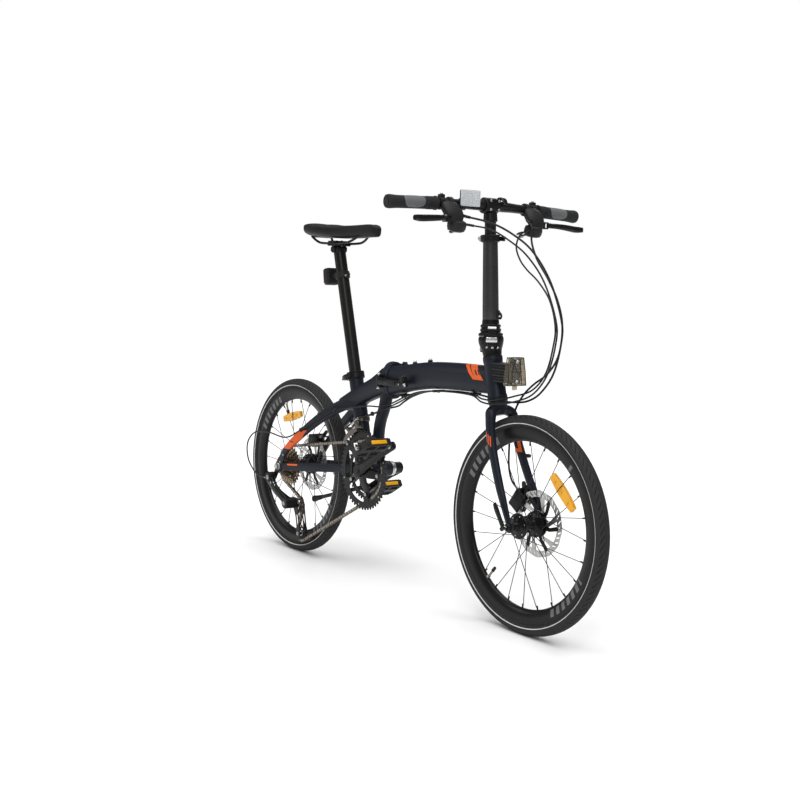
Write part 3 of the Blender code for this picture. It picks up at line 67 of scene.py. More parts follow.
UPRIGHT = Matrix(((1, 0, 0, 0), (0, 0, 1, 0), (0, 1, 0, 0), (0, 0, 0, 1)))  # stands a flat shape in XZ
FACING_FORWARD = Matrix(((0, 0, 1, 0), (1, 0, 0, 0), (0, 1, 0, 0), (0, 0, 0, 1)))  # and in YZ
ON_SIDE = Matrix.Rotation(math.radians(-90), 4, "X")

JOINTS = {joint["name"]: joint for joint in frame["joints"]}


def pivot_of(name):
    return Vector(JOINTS[name]["pos_m"])


def axis_of(name):
    return Vector(JOINTS[name]["axis"]).normalized()


FRONT_AXLE = pivot_of("front_wheel_spin")
REAR_AXLE = pivot_of("rear_wheel_spin")
CRANK_AXIS = pivot_of("crank_spin")
STEER_POINT = pivot_of("steering")
STEER_DIRECTION = axis_of("steering")
MAIN_HINGE = pivot_of("frame_fold")
POST_HINGE = pivot_of("handlepost_fold")
POST_DIRECTION = axis_of("handlepost_height")
SEAT_DIRECTION = -axis_of("seatpost_slide")
UPPER_PULLEY = pivot_of("upper_pulley_spin")
LOWER_PULLEY = pivot_of("lower_pulley_spin")
CAGE_PIVOT = pivot_of("cage_pivot")
SEAT_POINT = Vector((CRANK_AXIS.x - 0.052, 0, CRANK_AXIS.z))
POST_FOOT = Vector((0.3463, 0, POST_HINGE.z))
BAR_CENTRE = Vector((0.3213, 0, 0.999))
BAR_STRAIGHT = Vector((0.316, 0.148, 0.996))
BAR_END = Vector((0.311, 0.29, 0.991))

TYRE_RADIUS = FRONT_AXLE.z
RIM_EDGE = 0.2305
RIM_INNER = 0.196
DISC_RADIUS = 0.08
SPOKES_PER_SIDE = 12
SPOKE_STEP = 360 / SPOKES_PER_SIDE
FLANGE_RADIUS = 0.0308
CHAIN_PITCH = 0.0127
LARGE_RING_TEETH = 52
SMALL_RING_TEETH = 39
PULLEY_TEETH = 11
COG_TEETH = (28, 25, 22, 19, 17, 15, 13, 11)
COG_SPACING = 0.0043
FRONT_CHAIN_Y = -0.0425
REAR_CHAIN_Y = UPPER_PULLEY.y
SEAT_TUBE_RADIUS = 0.02
SEAT_TUBE_LENGTH = 0.262
SEATPOST_RADIUS = 0.01695
HEAD_TUBE_RADIUS = 0.0225
POST_LENGTH = 0.2415
STEM_RADIUS = 0.0136
FRONT_DISC_Y = 0.0375
REAR_DISC_Y = 0.0475
FORK_TIP_Y = 0.0525
DROPOUT_Y = 0.0707
HANGER_Y = -0.0722
LARGE_RING_Y = -0.049
CRANK_TURN = 6.0  # degrees from level to the first crank arm of the spider
BOLT_CIRCLE = 0.065
HINGE_ALONG = Vector((1, 1, 0)).normalized()
HINGE_INWARD = Vector((1, -1, 0)).normalized()
LATCH_CATCH = Vector((-0.053, -0.0395, 0.548))
BLOCK_X = 0.4366
BLOCK_Z = 0.611
SADDLE_RISE = 0.0035  # padding above the stations of saddle_rows
SADDLE_DROP = 0.0095  # and below them


# ---------------------------------------------------------------- node graphs

def node(tree, kind, inputs=None, **settings):
    """Add a node, set its options, and fill its inputs with numbers or links."""
    made = tree.nodes.new(kind)
    for key, value in settings.items():
        setattr(made, key, value)
    for key, value in (inputs or {}).items():
        if isinstance(value, bpy.types.NodeSocket):
            tree.links.new(value, made.inputs[key])
        else:
            made.inputs[key].default_value = value
    return made


def calc(tree, operation, first, second=0.0):
    """Result of one arithmetic node."""
    return node(tree, "ShaderNodeMath", {0: first, 1: second}, operation=operation).outputs[0]


def coordinates(tree):
    """The piece's own x, y and z at each point, in metres."""
    place = node(tree, "ShaderNodeTexCoord").outputs["Object"]
    split = node(tree, "ShaderNodeSeparateXYZ", {0: place})
    return split.outputs[0], split.outputs[1], split.outputs[2]


def blended(tree, factor, first, second):
    """Colour that goes from first to second as factor goes from 0 to 1."""
    mix = node(tree, "ShaderNodeMix", {0: factor, 6: first, 7: second}, data_type="RGBA")
    return mix.outputs[2]


def between(tree, value, low, high):
    """1 where value lies between low and high, else 0."""
    above = calc(tree, "GREATER_THAN", value, low)
    below = calc(tree, "LESS_THAN", value, high)
    return calc(tree, "MULTIPLY", above, below)


def surface(name, colour, roughness, metallic=0.0, grain=350.0, stretch=(1, 1, 1), mottle=0.12, relief=0.15,
        depth=0.0002, wear=0.0, **fixed):
    """Material with fine grain in its colour, roughness and relief, and worn edges if asked."""
    material = bpy.data.materials.new(name)
    material.use_nodes = True
    tree = material.node_tree
    shader = tree.nodes["Principled BSDF"]
    shader.inputs["Metallic"].default_value = metallic
    shader.inputs["Specular IOR Level"].default_value = 0.2
    for socket, value in fixed.items():
        shader.inputs[socket.replace("_", " ")].default_value = value
    place = node(tree, "ShaderNodeTexCoord").outputs["Object"]
    fine_place = node(tree, "ShaderNodeMapping", {"Vector": place, "Scale": stretch}).outputs[0]
    fine = node(tree, "ShaderNodeTexNoise",
        {"Vector": fine_place, "Scale": grain, "Detail": 5.0}).outputs[0]
    broad = node(tree, "ShaderNodeTexNoise", {"Vector": place, "Scale": 18.0, "Detail": 3.0}).outputs[0]
    both = calc(tree, "ADD", calc(tree, "MULTIPLY", fine, 0.6), calc(tree, "MULTIPLY", broad, 0.4))
    dark = (*[c * (1 - mottle) for c in colour], 1)
    light = (*[min(1, c * (1 + mottle)) for c in colour], 1)
    tint = blended(tree, both, dark, light)
    if wear:
        point = node(tree, "ShaderNodeNewGeometry").outputs["Pointiness"]
        edge = node(tree, "ShaderNodeMapRange", {0: point, 1: 0.54, 2: 0.62, 3: 0.0, 4: wear}).outputs[0]
        bare = (*[min(1, c * 2.5 + 0.05) for c in colour], 1)
        tint = blended(tree, calc(tree, "MULTIPLY", edge, both), tint, bare)
    tree.links.new(tint, shader.inputs["Base Color"])
    rough = node(tree, "ShaderNodeMapRange",
        {0: both, 1: 0.25, 2: 0.75, 3: roughness * 0.82, 4: roughness * 1.18})
    tree.links.new(rough.outputs[0], shader.inputs["Roughness"])
    bump = node(tree, "ShaderNodeBump", {"Strength": relief, "Distance": depth, "Height": fine})
    tree.links.new(bump.outputs[0], shader.inputs["Normal"])
    return material


def shader_of(material):
    return material.node_tree.nodes["Principled BSDF"]


def lay_over(material, mask, colour, roughness=None):
    """Put another colour, and roughness if given, over a material where mask is 1."""
    tree = material.node_tree
    inputs = shader_of(material).inputs
    under = inputs["Base Color"].links[0].from_socket
    tree.links.new(blended(tree, mask, under, (*colour, 1)), inputs["Base Color"])
    if roughness is not None:
        under = inputs["Roughness"].links[0].from_socket
        kept = calc(tree, "MULTIPLY", under, calc(tree, "SUBTRACT", 1.0, mask))
        laid = calc(tree, "MULTIPLY", mask, roughness)
        tree.links.new(calc(tree, "ADD", kept, laid), inputs["Roughness"])


def polygon_mask(tree, x, z, corners):
    """1 inside a convex polygon drawn on the object's side view."""
    middle_x = sum(c[0] for c in corners) / len(corners)
    middle_z = sum(c[1] for c in corners) / len(corners)
    mask = None
    for (x1, z1), (x2, z2) in zip(corners, corners[1:] + corners[:1]):
        nx, nz = z1 - z2, x2 - x1
        if nx * (middle_x - x1) + nz * (middle_z - z1) < 0:
            nx, nz = -nx, -nz
        along = calc(tree, "ADD", calc(tree, "MULTIPLY", x, nx), calc(tree, "MULTIPLY", z, nz))
        inside = calc(tree, "GREATER_THAN", along, nx * x1 + nz * z1)
        mask = inside if mask is None else calc(tree, "MULTIPLY", mask, inside)
    return mask


def slanted(x, z, width, height, lean):
    """Corners of a slanted bar from its top rear corner; lean is how far its foot is moved forward."""
    return [(x, z), (x + width, z), (x + width + lean, z - height), (x + lean, z - height)]


# ---------------------------------------------------------------- materials

ORANGE = (0.72, 0.115, 0.02)
NAVY_COLOUR = (0.0085, 0.0108, 0.018)
DARK_MARK = (0.02, 0.02, 0.025)


def navy(name):
    return surface(name, NAVY_COLOUR, 0.4, 0.0, 900, mottle=0.1, relief=0.06, wear=0.2)


def frame_paint():
    """Matte dark navy with orange and grey marks."""
    paint = navy("navy_paint")
    tree = paint.node_tree
    x, y, z = coordinates(tree)
    for corners in (slanted(0.2707, 0.62, 0.013, 0.037, 0.042), slanted(0.289, 0.62, 0.0255, 0.037, 0.036)):
        lay_over(paint, polygon_mask(tree, x, z, corners), ORANGE)
    stay_mark = polygon_mask(tree, x, z,
        [(-0.364, 0.38), (-0.424, 0.372), (-0.475, 0.315), (-0.4345, 0.314)])
    splay = calc(tree, "MULTIPLY", calc(tree, "ADD", x, 0.43), 0.11)
    outer_face = calc(tree, "GREATER_THAN", calc(tree, "ADD", calc(tree, "ABSOLUTE", y), splay), 0.063)
    lay_over(paint, calc(tree, "MULTIPLY", stay_mark, outer_face), ORANGE)
    for corners in (slanted(0.313, 0.606, 0.006, 0.012, 0.011), slanted(0.322, 0.608, 0.004, 0.013, 0.012),
            slanted(-0.442, 0.34, 0.016, 0.003, 0.002)):
        lay_over(paint, polygon_mask(tree, x, z, corners), DARK_MARK)
    outside = calc(tree, "LESS_THAN", y, -0.05)
    bar = polygon_mask(tree, x, z, [(-0.456, 0.271), (-0.408, 0.276), (-0.408, 0.271), (-0.456, 0.266)])
    lay_over(paint, calc(tree, "MULTIPLY", bar, outside), ORANGE)
    return paint


def fork_paint():
    """The same navy on the fork, with slanted orange lines on the blades."""
    paint = navy("navy_fork_paint")
    tree = paint.node_tree
    x, y, z = coordinates(tree)
    outer = calc(tree, "LESS_THAN", y, -0.044)
    inner = between(tree, y, 0.0, 0.042)
    for k in range(3):
        corners = slanted(0.399 + 0.007 * k, 0.466 - 0.004 * k, 0.0032, 0.024, 0.006)
        mask = polygon_mask(tree, x, z, corners)
        lay_over(paint, calc(tree, "MULTIPLY", mask, outer), ORANGE)
    window = polygon_mask(tree, x, z, slanted(0.399, 0.466, 0.018, 0.048, 0.017))
    hole = polygon_mask(tree, x, z, slanted(0.4035, 0.46, 0.009, 0.034, 0.012))
    outline = calc(tree, "MULTIPLY", window, calc(tree, "SUBTRACT", 1.0, hole))
    lay_over(paint, calc(tree, "MULTIPLY", outline, inner), ORANGE)
    return paint


def polar(tree):
    """Radius and angle about the piece's own Y axis, and the distance along it."""
    x, y, z = coordinates(tree)
    square = calc(tree, "ADD", calc(tree, "MULTIPLY", x, x), calc(tree, "MULTIPLY", z, z))
    return calc(tree, "SQRT", square), calc(tree, "ARCTAN2", z, x), y


def tyre_rubber():
    """Black rubber with a white line on the side wall and a grooved tread, its grooves painted darker as
    shade.
    """
    rubber = surface("tyre_rubber", (0.024, 0.024, 0.025), 0.72, 0.0, 700, mottle=0.2, relief=0.3,
        depth=0.0003)
    tree = rubber.node_tree
    radius, angle, y = polar(tree)
    width = calc(tree, "ABSOLUTE", y)
    white_line = between(tree, radius, 0.2372, 0.2392)
    lay_over(rubber, white_line, (0.62, 0.62, 0.6), 0.35)
    blocks_around, skew = 90, 110.0
    turn = calc(tree, "MULTIPLY", angle, blocks_around / (2 * math.pi))
    skewed = calc(tree, "ADD", turn, calc(tree, "MULTIPLY", width, skew))
    groove = calc(tree, "LESS_THAN", calc(tree, "FRACT", calc(tree, "ADD", skewed, 200.0)), 0.24)
    shoulder = between(tree, width, 0.006, 0.015)
    tread = calc(tree, "MULTIPLY", shoulder, calc(tree, "GREATER_THAN", radius, 0.2465))
    slanted_grooves = calc(tree, "MULTIPLY", groove, tread)
    rings = between(tree, width, 0.0022, 0.0034)
    cut = calc(tree, "MAXIMUM", slanted_grooves, rings)
    height = calc(tree, "SUBTRACT", 1.0, cut)
    under = shader_of(rubber).inputs["Normal"].links[0].from_socket
    bump = node(tree, "ShaderNodeBump",
        {"Strength": 0.9, "Distance": 0.0012, "Height": height, "Normal": under})
    tree.links.new(bump.outputs[0], shader_of(rubber).inputs["Normal"])
    # painted shade: the grooves are coloured near black, darker than the rubber, where shade falls in them
    lay_over(rubber, cut, (0.006, 0.006, 0.006))
    return rubber


def rim_black():
    """Satin black rim with groups of slanted grey bars on each side."""
    black = surface("rim_black", (0.0085, 0.0085, 0.0088), 0.28, 0.1, 500, mottle=0.15, relief=0.04,
        wear=0.2)
    tree = black.node_tree
    radius, angle, _ = polar(tree)
    band = between(tree, radius, 0.203, 0.22)
    lean = calc(tree, "MULTIPLY", radius, 12.0)
    phase = calc(tree, "FRACT", calc(tree, "ADD", calc(tree, "MULTIPLY", angle, 10.0), lean))
    bars = calc(tree, "LESS_THAN", phase, 0.55)
    marks = None
    half_spread = 0.33
    for middle in (-0.76, 2.38):
        near = between(tree, angle, middle - half_spread, middle + half_spread)
        marks = near if marks is None else calc(tree, "MAXIMUM", marks, near)
    badge = between(tree, angle, 0.8, 0.84)
    marks = calc(tree, "MAXIMUM", calc(tree, "MULTIPLY", marks, bars), badge)
    lay_over(black, calc(tree, "MULTIPLY", marks, band), (0.13, 0.13, 0.135))
    return black


def grip_rubber():
    """Soft ribbed rubber."""
    return surface("grip_rubber", (0.02, 0.02, 0.0205), 0.78, 0.0, 1100, mottle=0.25, relief=0.35,
        depth=0.0004)


def faceted(name, colour, cell):
    """Reflector plastic: clear colour over small prisms, each prism darkened away from its centre as
    painted shade.
    """
    plastic = surface(name, colour, 0.18, 0.0, 250, mottle=0.1, relief=0.0, Coat_Weight=0.5,
        Coat_Roughness=0.06)
    tree = plastic.node_tree
    place = node(tree, "ShaderNodeTexCoord").outputs["Object"]
    cells = node(tree, "ShaderNodeTexVoronoi", {"Vector": place, "Scale": 1 / cell, "Randomness": 0.0})
    bump = node(tree, "ShaderNodeBump",
        {"Strength": 0.6, "Distance": cell * 0.3, "Height": cells.outputs[0]})
    tree.links.new(bump.outputs[0], shader_of(plastic).inputs["Normal"])
    base = shader_of(plastic).inputs["Base Color"].links[0].from_socket
    # painted shade: the colour darkens by up to 35 percent towards each prism's edge, standing in for how
    # light falls across the prisms
    shade = node(tree, "ShaderNodeMapRange",
        {0: cells.outputs[0], 1: 0.0, 2: 0.7, 3: 0.0, 4: 0.35}).outputs[0]
    tint = blended(tree, shade, base, (*[c * 0.45 for c in colour], 1))
    tree.links.new(tint, shader_of(plastic).inputs["Base Color"])
    return plastic


NAVY = frame_paint()
NAVY_FORK = fork_paint()
TYRE = tyre_rubber()
RIM = rim_black()
GRIP = grip_rubber()
GRIP_GREY = surface("grip_grey", (0.135, 0.14, 0.145), 0.72, 0.0, 1100, mottle=0.2, relief=0.35,
    depth=0.0004)
BLACK = surface("black_alloy", (0.0125, 0.0125, 0.013), 0.36, 0.55, 600, mottle=0.15, relief=0.08, wear=0.5)
BLACK_GLOSS = surface("black_gloss", (0.01, 0.01, 0.0105), 0.2, 0.2, 500, mottle=0.1, relief=0.03, wear=0.3)
POST_GREY = surface("post_grey", (0.06, 0.059, 0.06), 0.36, 0.75, 900, (1, 1, 0.12), mottle=0.14,
    relief=0.06, wear=0.3)
SEATPOST_GREY = surface("seatpost_grey", (0.026, 0.025, 0.024), 0.34, 0.7, 900, (1, 1, 0.12), mottle=0.14,
    relief=0.06)
DARK_STEM = surface("stem_black", (0.02, 0.02, 0.021), 0.38, 0.6, 900, (1, 1, 0.12), mottle=0.14,
    relief=0.06)
PLASTIC = surface("black_plastic", (0.014, 0.014, 0.0145), 0.5, 0.0, 900, mottle=0.15, relief=0.22,
    wear=0.15)
HOUSING = surface("cable_housing", (0.012, 0.012, 0.0125), 0.34, 0.0, 800, mottle=0.15, relief=0.08)
STEEL = surface("bright_steel", (0.62, 0.62, 0.61), 0.24, 1.0, 700, mottle=0.12, relief=0.06)
SATIN_STEEL = surface("satin_steel", (0.46, 0.46, 0.45), 0.36, 1.0, 900, mottle=0.2, relief=0.12)
BRONZE = surface("cassette_metal", (0.3, 0.235, 0.165), 0.34, 1.0, 500, mottle=0.25, relief=0.12)
CHAIN = surface("chain_metal", (0.17, 0.145, 0.115), 0.36, 0.9, 700, mottle=0.3, relief=0.12)
SPOKE = surface("spoke_black", (0.013, 0.013, 0.0135), 0.3, 0.6, 600, mottle=0.15, relief=0.03)
AMBER = faceted("amber_reflector", (0.95, 0.44, 0.006), 0.0026)
CLEAR = faceted("clear_reflector", (0.66, 0.68, 0.7), 0.0034)
RED = faceted("red_lens", (0.45, 0.008, 0.006), 0.0024)
SMOKE = surface("smoked_plastic", (0.58, 0.52, 0.42), 0.08, 0.0, 300, mottle=0.06, relief=0.02,
    Transmission_Weight=0.9, IOR=1.3, Specular_IOR_Level=0.5)
DARK_METAL = surface("dark_plated_steel", (0.13, 0.115, 0.1), 0.34, 1.0, 700, mottle=0.25, relief=0.1)
COVER = surface("saddle_cover", (0.011, 0.011, 0.0118), 0.5, 0.0, 1500, mottle=0.2, relief=0.3,
    depth=0.0003, Specular_IOR_Level=0.16)
THREAD = surface("stitching", (0.055, 0.055, 0.058), 0.8, 0.0, 1500, mottle=0.2, relief=0.2)
LABEL = surface("pale_tab", (0.55, 0.5, 0.36), 0.4, 0.0, 500, mottle=0.1, relief=0.05)


# ---------------------------------------------------------------- shapes

def spread(rows, spacing):
    """Rows about evenly spaced on a smooth curve through the given rows, which each start with a point."""
    rows = [Vector(row) for row in rows]
    ends = [2 * rows[0] - rows[1]] + rows + [2 * rows[-1] - rows[-2]]
    smooth = []
    for a, b, c, d in zip(ends, ends[1:], ends[2:], ends[3:]):
        length = (Vector(c[:3]) - Vector(b[:3])).length
        steps = max(1, round(length / spacing))
        for k in range(steps):
            t = k / steps
            smooth.append(0.5 * (2 * b + (c - a) * t + (2 * a - 5 * b + 4 * c - d) * t * t
                                 + (3 * b - 3 * c + d - a) * t ** 3))
    smooth.append(rows[-1])
    return smooth


def oval(count=28, squareness=2.0):
    """Unit outline of an ellipse, squarer as squareness goes above 2."""
    points = []
    for k in range(count):
        angle = 2 * math.pi * (k + 0.5) / count
        c, s = math.cos(angle), math.sin(angle)
        points.append((math.copysign(abs(c) ** (2 / squareness), c),
            math.copysign(abs(s) ** (2 / squareness), s)))
    return points


def join_loops(loops):
    """Skin between loops of points, with flat ends."""
    bm = bmesh.new()
    rows = [[bm.verts.new(point) for point in loop] for loop in loops]
    for lower, upper in zip(rows, rows[1:]):
        for i in range(len(lower)):
            j = (i + 1) % len(lower)
            bm.faces.new((lower[i], lower[j], upper[j], upper[i]))
    bm.faces.new(rows[0])
    bm.faces.new(rows[-1])
    return bm


def skin(stations, outline=None, spacing=0.006, side=Y_AXIS):
    """Smooth skin through stations of (point, half width, half height); width runs along side."""
    outline = outline or oval()
    rows = spread([(*point, wide, high) for point, wide, high in stations], spacing)
    points = [Vector(row[:3]) for row in rows]
    loops = []
    for i, row in enumerate(rows):
        tangent = (points[min(i + 1, len(points) - 1)] - points[max(i - 1, 0)]).normalized()
        across = (side - tangent * side.dot(tangent)).normalized()
        up = across.cross(tangent)
        loops.append([points[i] + across * (u * row[3]) + up * (v * row[4]) for u, v in outline])
    return join_loops(loops)


def wire(points, radius, sides=10, spacing=0.006):
    """Round wire along a smooth curve through the points."""
    route = spread(points, spacing)
    last = len(route) - 1
    tangent = (route[1] - route[0]).normalized()
    across = tangent.orthogonal().normalized()
    loops = []
    for i, point in enumerate(route):
        tangent = (route[min(i + 1, last)] - route[max(i - 1, 0)]).normalized()
        across = (across - tangent * across.dot(tangent)).normalized()
        up = tangent.cross(across)
        loops.append([point + (across * math.cos(a) + up * math.sin(a)) * radius
            for a in (2 * math.pi * k / sides for k in range(sides))])
    return join_loops(loops)


def revolve(profile, steps=48, closed=False):
    """Turn an outline of (radius, height) points about Z."""
    bm = bmesh.new()
    rows = []
    for radius, height in profile:
        count = 1 if radius < 1e-6 else steps
        rows.append([bm.verts.new((radius * math.cos(2 * math.pi * k / steps),
            radius * math.sin(2 * math.pi * k / steps), height)) for k in range(count)])
    pairs = list(zip(rows, rows[1:]))
    if closed:
        pairs.append((rows[-1], rows[0]))
    for lower, upper in pairs:
        for k in range(steps):
            n = (k + 1) % steps
            corners = [lower[k % len(lower)], lower[n % len(lower)], upper[n % len(upper)],
                upper[k % len(upper)]]
            corners = list(dict.fromkeys(corners))
            if len(corners) > 2:
                bm.faces.new(corners)
    return bm


def rod(length, radius, end_radius=None, chamfer=0.0006, steps=32):
    """Round bar with chamfered ends, centred on the origin along Z."""
    low, high = radius, radius if end_radius is None else end_radius
    half = length / 2
    return revolve([(0, -half), (low - chamfer, -half), (low, -half + chamfer), (high, half - chamfer),
        (high - chamfer, half), (0, half)], steps)


def collar(length, inner, outer, chamfer=0.0006, steps=48):
    """Ring with chamfered edges, centred on the origin along Z."""
    half = length / 2
    return revolve([(inner, -half), (outer - chamfer, -half), (outer, -half + chamfer),
        (outer, half - chamfer), (outer - chamfer, half), (inner, half)], steps, closed=True)


def bolt(radius, height):
    """Domed bolt head with a socket, standing on the origin along Z."""
    return revolve([(0, height * 0.35), (radius * 0.42, height * 0.4), (radius * 0.48, height * 0.95),
        (radius * 0.8, height), (radius, height * 0.7), (radius, 0), (0, 0)], 18)


def box(size, bevel=0.0012, segments=2):
    """Box with rounded edges, centred on the origin."""
    bm = bmesh.new()
    bmesh.ops.create_cube(bm, size=1, matrix=Matrix.Diagonal((*size, 1)))
    bmesh.ops.bevel(bm, geom=bm.edges[:], offset=bevel, segments=segments, profile=0.5, affect="EDGES")
    return bm


def plate(loops, thickness, bevel=0.0003):
    """Flat plate in the XY plane from an outer outline and any holes, with softened edges."""
    curve = bpy.data.curves.new("plate", "CURVE")
    curve.dimensions = "2D"
    curve.fill_mode = "BOTH"
    curve.extrude = thickness / 2 - bevel
    curve.bevel_depth = bevel
    curve.bevel_resolution = 0
    curve.offset = -bevel
    for loop in loops:
        spline = curve.splines.new("POLY")
        spline.points.add(len(loop) - 1)
        spline.use_cyclic_u = True
        for spline_point, (x, y) in zip(spline.points, loop):
            spline_point.co = (x, y, 0, 1)
    holder = bpy.data.objects.new("plate", curve)
    bpy.context.scene.collection.objects.link(holder)
    bpy.context.view_layer.update()
    mesh = bpy.data.meshes.new_from_object(holder.evaluated_get(bpy.context.evaluated_depsgraph_get()))
    bm = bmesh.new()
    bm.from_mesh(mesh)
    bmesh.ops.remove_doubles(bm, verts=bm.verts[:], dist=1e-6)
    bpy.data.objects.remove(holder)
    bpy.data.curves.remove(curve)
    bpy.data.meshes.remove(mesh)
    return bm


def circle(radius, count):
    turns = [2 * math.pi * k / count for k in range(count)]
    return [(radius * math.cos(turn), radius * math.sin(turn)) for turn in turns]


def polar_point(radius, degrees):
    return radius * math.cos(math.radians(degrees)), radius * math.sin(math.radians(degrees))


def direction_at(degrees):
    """Direction in the XZ plane, square to an axle."""
    return Vector((math.cos(math.radians(degrees)), 0, math.sin(math.radians(degrees))))


def sector(inner, outer, start, end, lean=0.0, steps=8):
    """Outline of a ring sector between two angles in degrees; lean turns its outer edge."""
    low = [polar_point(inner, start + (end - start) * k / steps) for k in range(steps + 1)]
    high = [polar_point(outer, end + lean + (start - end) * k / steps) for k in range(steps + 1)]
    return low + high


def toothed(teeth, tip, root, land=0.28):
    """Outline of a toothed wheel."""
    points = []
    for k in range(teeth):
        middle = 360 * k / teeth
        pitch = 360 / teeth
        points.append(polar_point(root, middle - pitch * 0.36))
        points.append(polar_point(tip, middle - pitch * land / 2))
        points.append(polar_point(tip, middle + pitch * land / 2))
        points.append(polar_point(root, middle + pitch * 0.36))
    return points


def strip(points, halves):
    """Outline of a flat strip that follows 2D points, with a round end at each end."""
    points = [Vector(p) for p in points]
    left, right = [], []
    for i, point in enumerate(points):
        tangent = (points[min(i + 1, len(points) - 1)] - points[max(i - 1, 0)]).normalized()
        normal = Vector((-tangent.y, tangent.x))
        left.append(point + normal * halves[i])
        right.append(point - normal * halves[i])
    first = (points[1] - points[0]).normalized()
    last = (points[-1] - points[-2]).normalized()
    tail = [points[0] + Matrix.Rotation(math.radians(a), 2) @ (first * halves[0])
        for a in (-135, -160, 180, 160, 135)]
    head = [points[-1] + Matrix.Rotation(math.radians(a), 2) @ (last * halves[-1])
        for a in (60, 30, 0, -30, -60)]
    return [tuple(p) for p in left + head + right[::-1] + tail]


# ---------------------------------------------------------------- placing

def at(point, axis=Z_AXIS):
    """Matrix that stands a shape on a point with its Z along an axis."""
    turn = Z_AXIS.rotation_difference(Vector(axis).normalized()).to_matrix().to_4x4()
    return Matrix.Translation(Vector(point)) @ turn


def turned(point, x_degrees=0.0, y_degrees=0.0, z_degrees=0.0):
    """Matrix that moves a shape to a point after turning it about X, Y and Z."""
    turn = Matrix.Identity(4)
    for degrees, axis in ((x_degrees, "X"), (y_degrees, "Y"), (z_degrees, "Z")):
        turn = Matrix.Rotation(math.radians(degrees), 4, axis) @ turn
    return Matrix.Translation(Vector(point)) @ turn


def upright(point, spin=0.0):
    """Matrix that stands a flat shape up, its x and y becoming the bicycle's X and Z."""
    return Matrix.Translation(Vector(point)) @ UPRIGHT @ Matrix.Rotation(spin, 4, "Z")


def shift(x=0.0, y=0.0, z=0.0):
    return Matrix.Translation((x, y, z))


def span(start, end):
    """Middle of two points and the axis from one to the other, as a matrix."""
    start, end = Vector(start), Vector(end)
    return at((start + end) / 2, end - start)


def seat_point(distance):
    """Point on the seat tube's axis, measured up from beside the crank axis."""
    return SEAT_POINT + SEAT_DIRECTION * distance


def steer_point(distance):
    """Point on the steering axis, measured up from the middle of the head tube."""
    return STEER_POINT + STEER_DIRECTION * distance


def post_point(distance):
    """Point on the handlepost's axis, measured up from its foot."""
    return POST_FOOT + POST_DIRECTION * distance


def mirrored(point, side):
    return Vector((point[0], point[1] * side, point[2]))


def mirrored_rows(side, rows):
    """Stations for skin, on the left as given or on the right."""
    return [(mirrored(point, side), wide, high) for point, wide, high in rows]


def rows_from(origin, rows):
    """Stations for skin, given as steps from a point."""
    return [(origin + Vector(step), wide, high) for step, wide, high in rows]


class Piece:
    """Shapes gathered into one mesh that rides on one body, each shape with its own material."""

    def __init__(self, name, body, slot, replaces=(), origin=(0, 0, 0)):
        self.name, self.body, self.slot, self.replaces = name, body, slot, replaces
        self.origin = Vector(origin)
        self.bm = bmesh.new()
        self.materials = []

    def add(self, shape, material, matrix=None):
        """Take in a shape, moved by a matrix given in the row frame."""
        bmesh.ops.transform(shape, matrix=Matrix.Translation(-self.origin) @ (matrix or Matrix.Identity(4)),
            verts=shape.verts[:])
        bmesh.ops.recalc_face_normals(shape, faces=shape.faces[:])
        if material not in self.materials:
            self.materials.append(material)
        for face in shape.faces:
            face.material_index = self.materials.index(material)
        mesh = bpy.data.meshes.new("shape")
        shape.to_mesh(mesh)
        shape.free()
        self.bm.from_mesh(mesh)
        bpy.data.meshes.remove(mesh)

    def make(self, angle=32, ride=True):
        mesh = bpy.data.meshes.new(self.name)
        self.bm.to_mesh(mesh)
        self.bm.free()
        mesh.shade_smooth()
        mesh.set_sharp_from_angle(angle=math.radians(angle))
        for material in self.materials:
            mesh.materials.append(material)
        obj = bpy.data.objects.new(self.name, mesh)
        bpy.context.scene.collection.objects.link(obj)
        obj.location = self.origin
        if ride:
            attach(obj, self.body)
        if self.replaces:
            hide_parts(*self.replaces)
        return obj


# ---------------------------------------------------------------- wheels

def make_tyre(prefix, axle, body):
    half = [(TYRE_RADIUS, 0.0), (0.2573, 0.0035), (0.2563, 0.0075), (0.2543, 0.0112), (0.2515, 0.0146),
        (0.248, 0.0173), (0.244, 0.0188), (0.24, 0.0186), (0.2365, 0.017), (0.2335, 0.0146),
        (0.2315, 0.0118), (0.23, 0.0106)]
    outline = [(r, y) for r, y in reversed(half)] + [(r, -y) for r, y in half[1:]]
    piece = Piece(f"{prefix}_tyre_skin", body, "tyre_rubber", [f"{prefix}_tyre"], axle)
    piece.add(revolve(outline, 160, closed=True), TYRE, at(axle, Y_AXIS))
    piece.make(60)


def make_rim(prefix, axle, body, valve_degrees):
    half = [(0.225, 0.009), (RIM_EDGE, 0.0094), (RIM_EDGE + 0.0006, 0.0106), (RIM_EDGE - 0.0002, 0.0117),
        (0.224, 0.0121), (0.215, 0.0119), (0.206, 0.0098), (0.2, 0.007), (0.1972, 0.0045),
        (RIM_INNER, 0.0016)]
    outline = half + [(r, -y) for r, y in reversed(half)]
    piece = Piece(f"{prefix}_rim_shell", body, "black_alloy", [f"{prefix}_rim"], axle)
    piece.add(revolve(outline, 160, closed=True), RIM, at(axle, Y_AXIS))
    for k in range(2 * SPOKES_PER_SIDE):
        radial = direction_at(SPOKE_STEP / 2 * k)
        piece.add(rod(0.012, 0.0019, 0.0021, 0.0003, 10), BLACK_GLOSS,
            at(axle + radial * (RIM_INNER - 0.0035), radial))
    out = direction_at(valve_degrees)
    piece.add(rod(0.03, 0.0028, chamfer=0.0003, steps=14), BRONZE,
        at(axle + out * (RIM_INNER - 0.012), out))
    piece.add(rod(0.0035, 0.0052, chamfer=0.0004, steps=6), SATIN_STEEL,
        at(axle + out * (RIM_INNER - 0.0015), out))
    piece.add(rod(0.013, 0.0038, 0.0044, 0.0008, 16), PLASTIC, at(axle + out * (RIM_INNER - 0.03), out))
    piece.make()


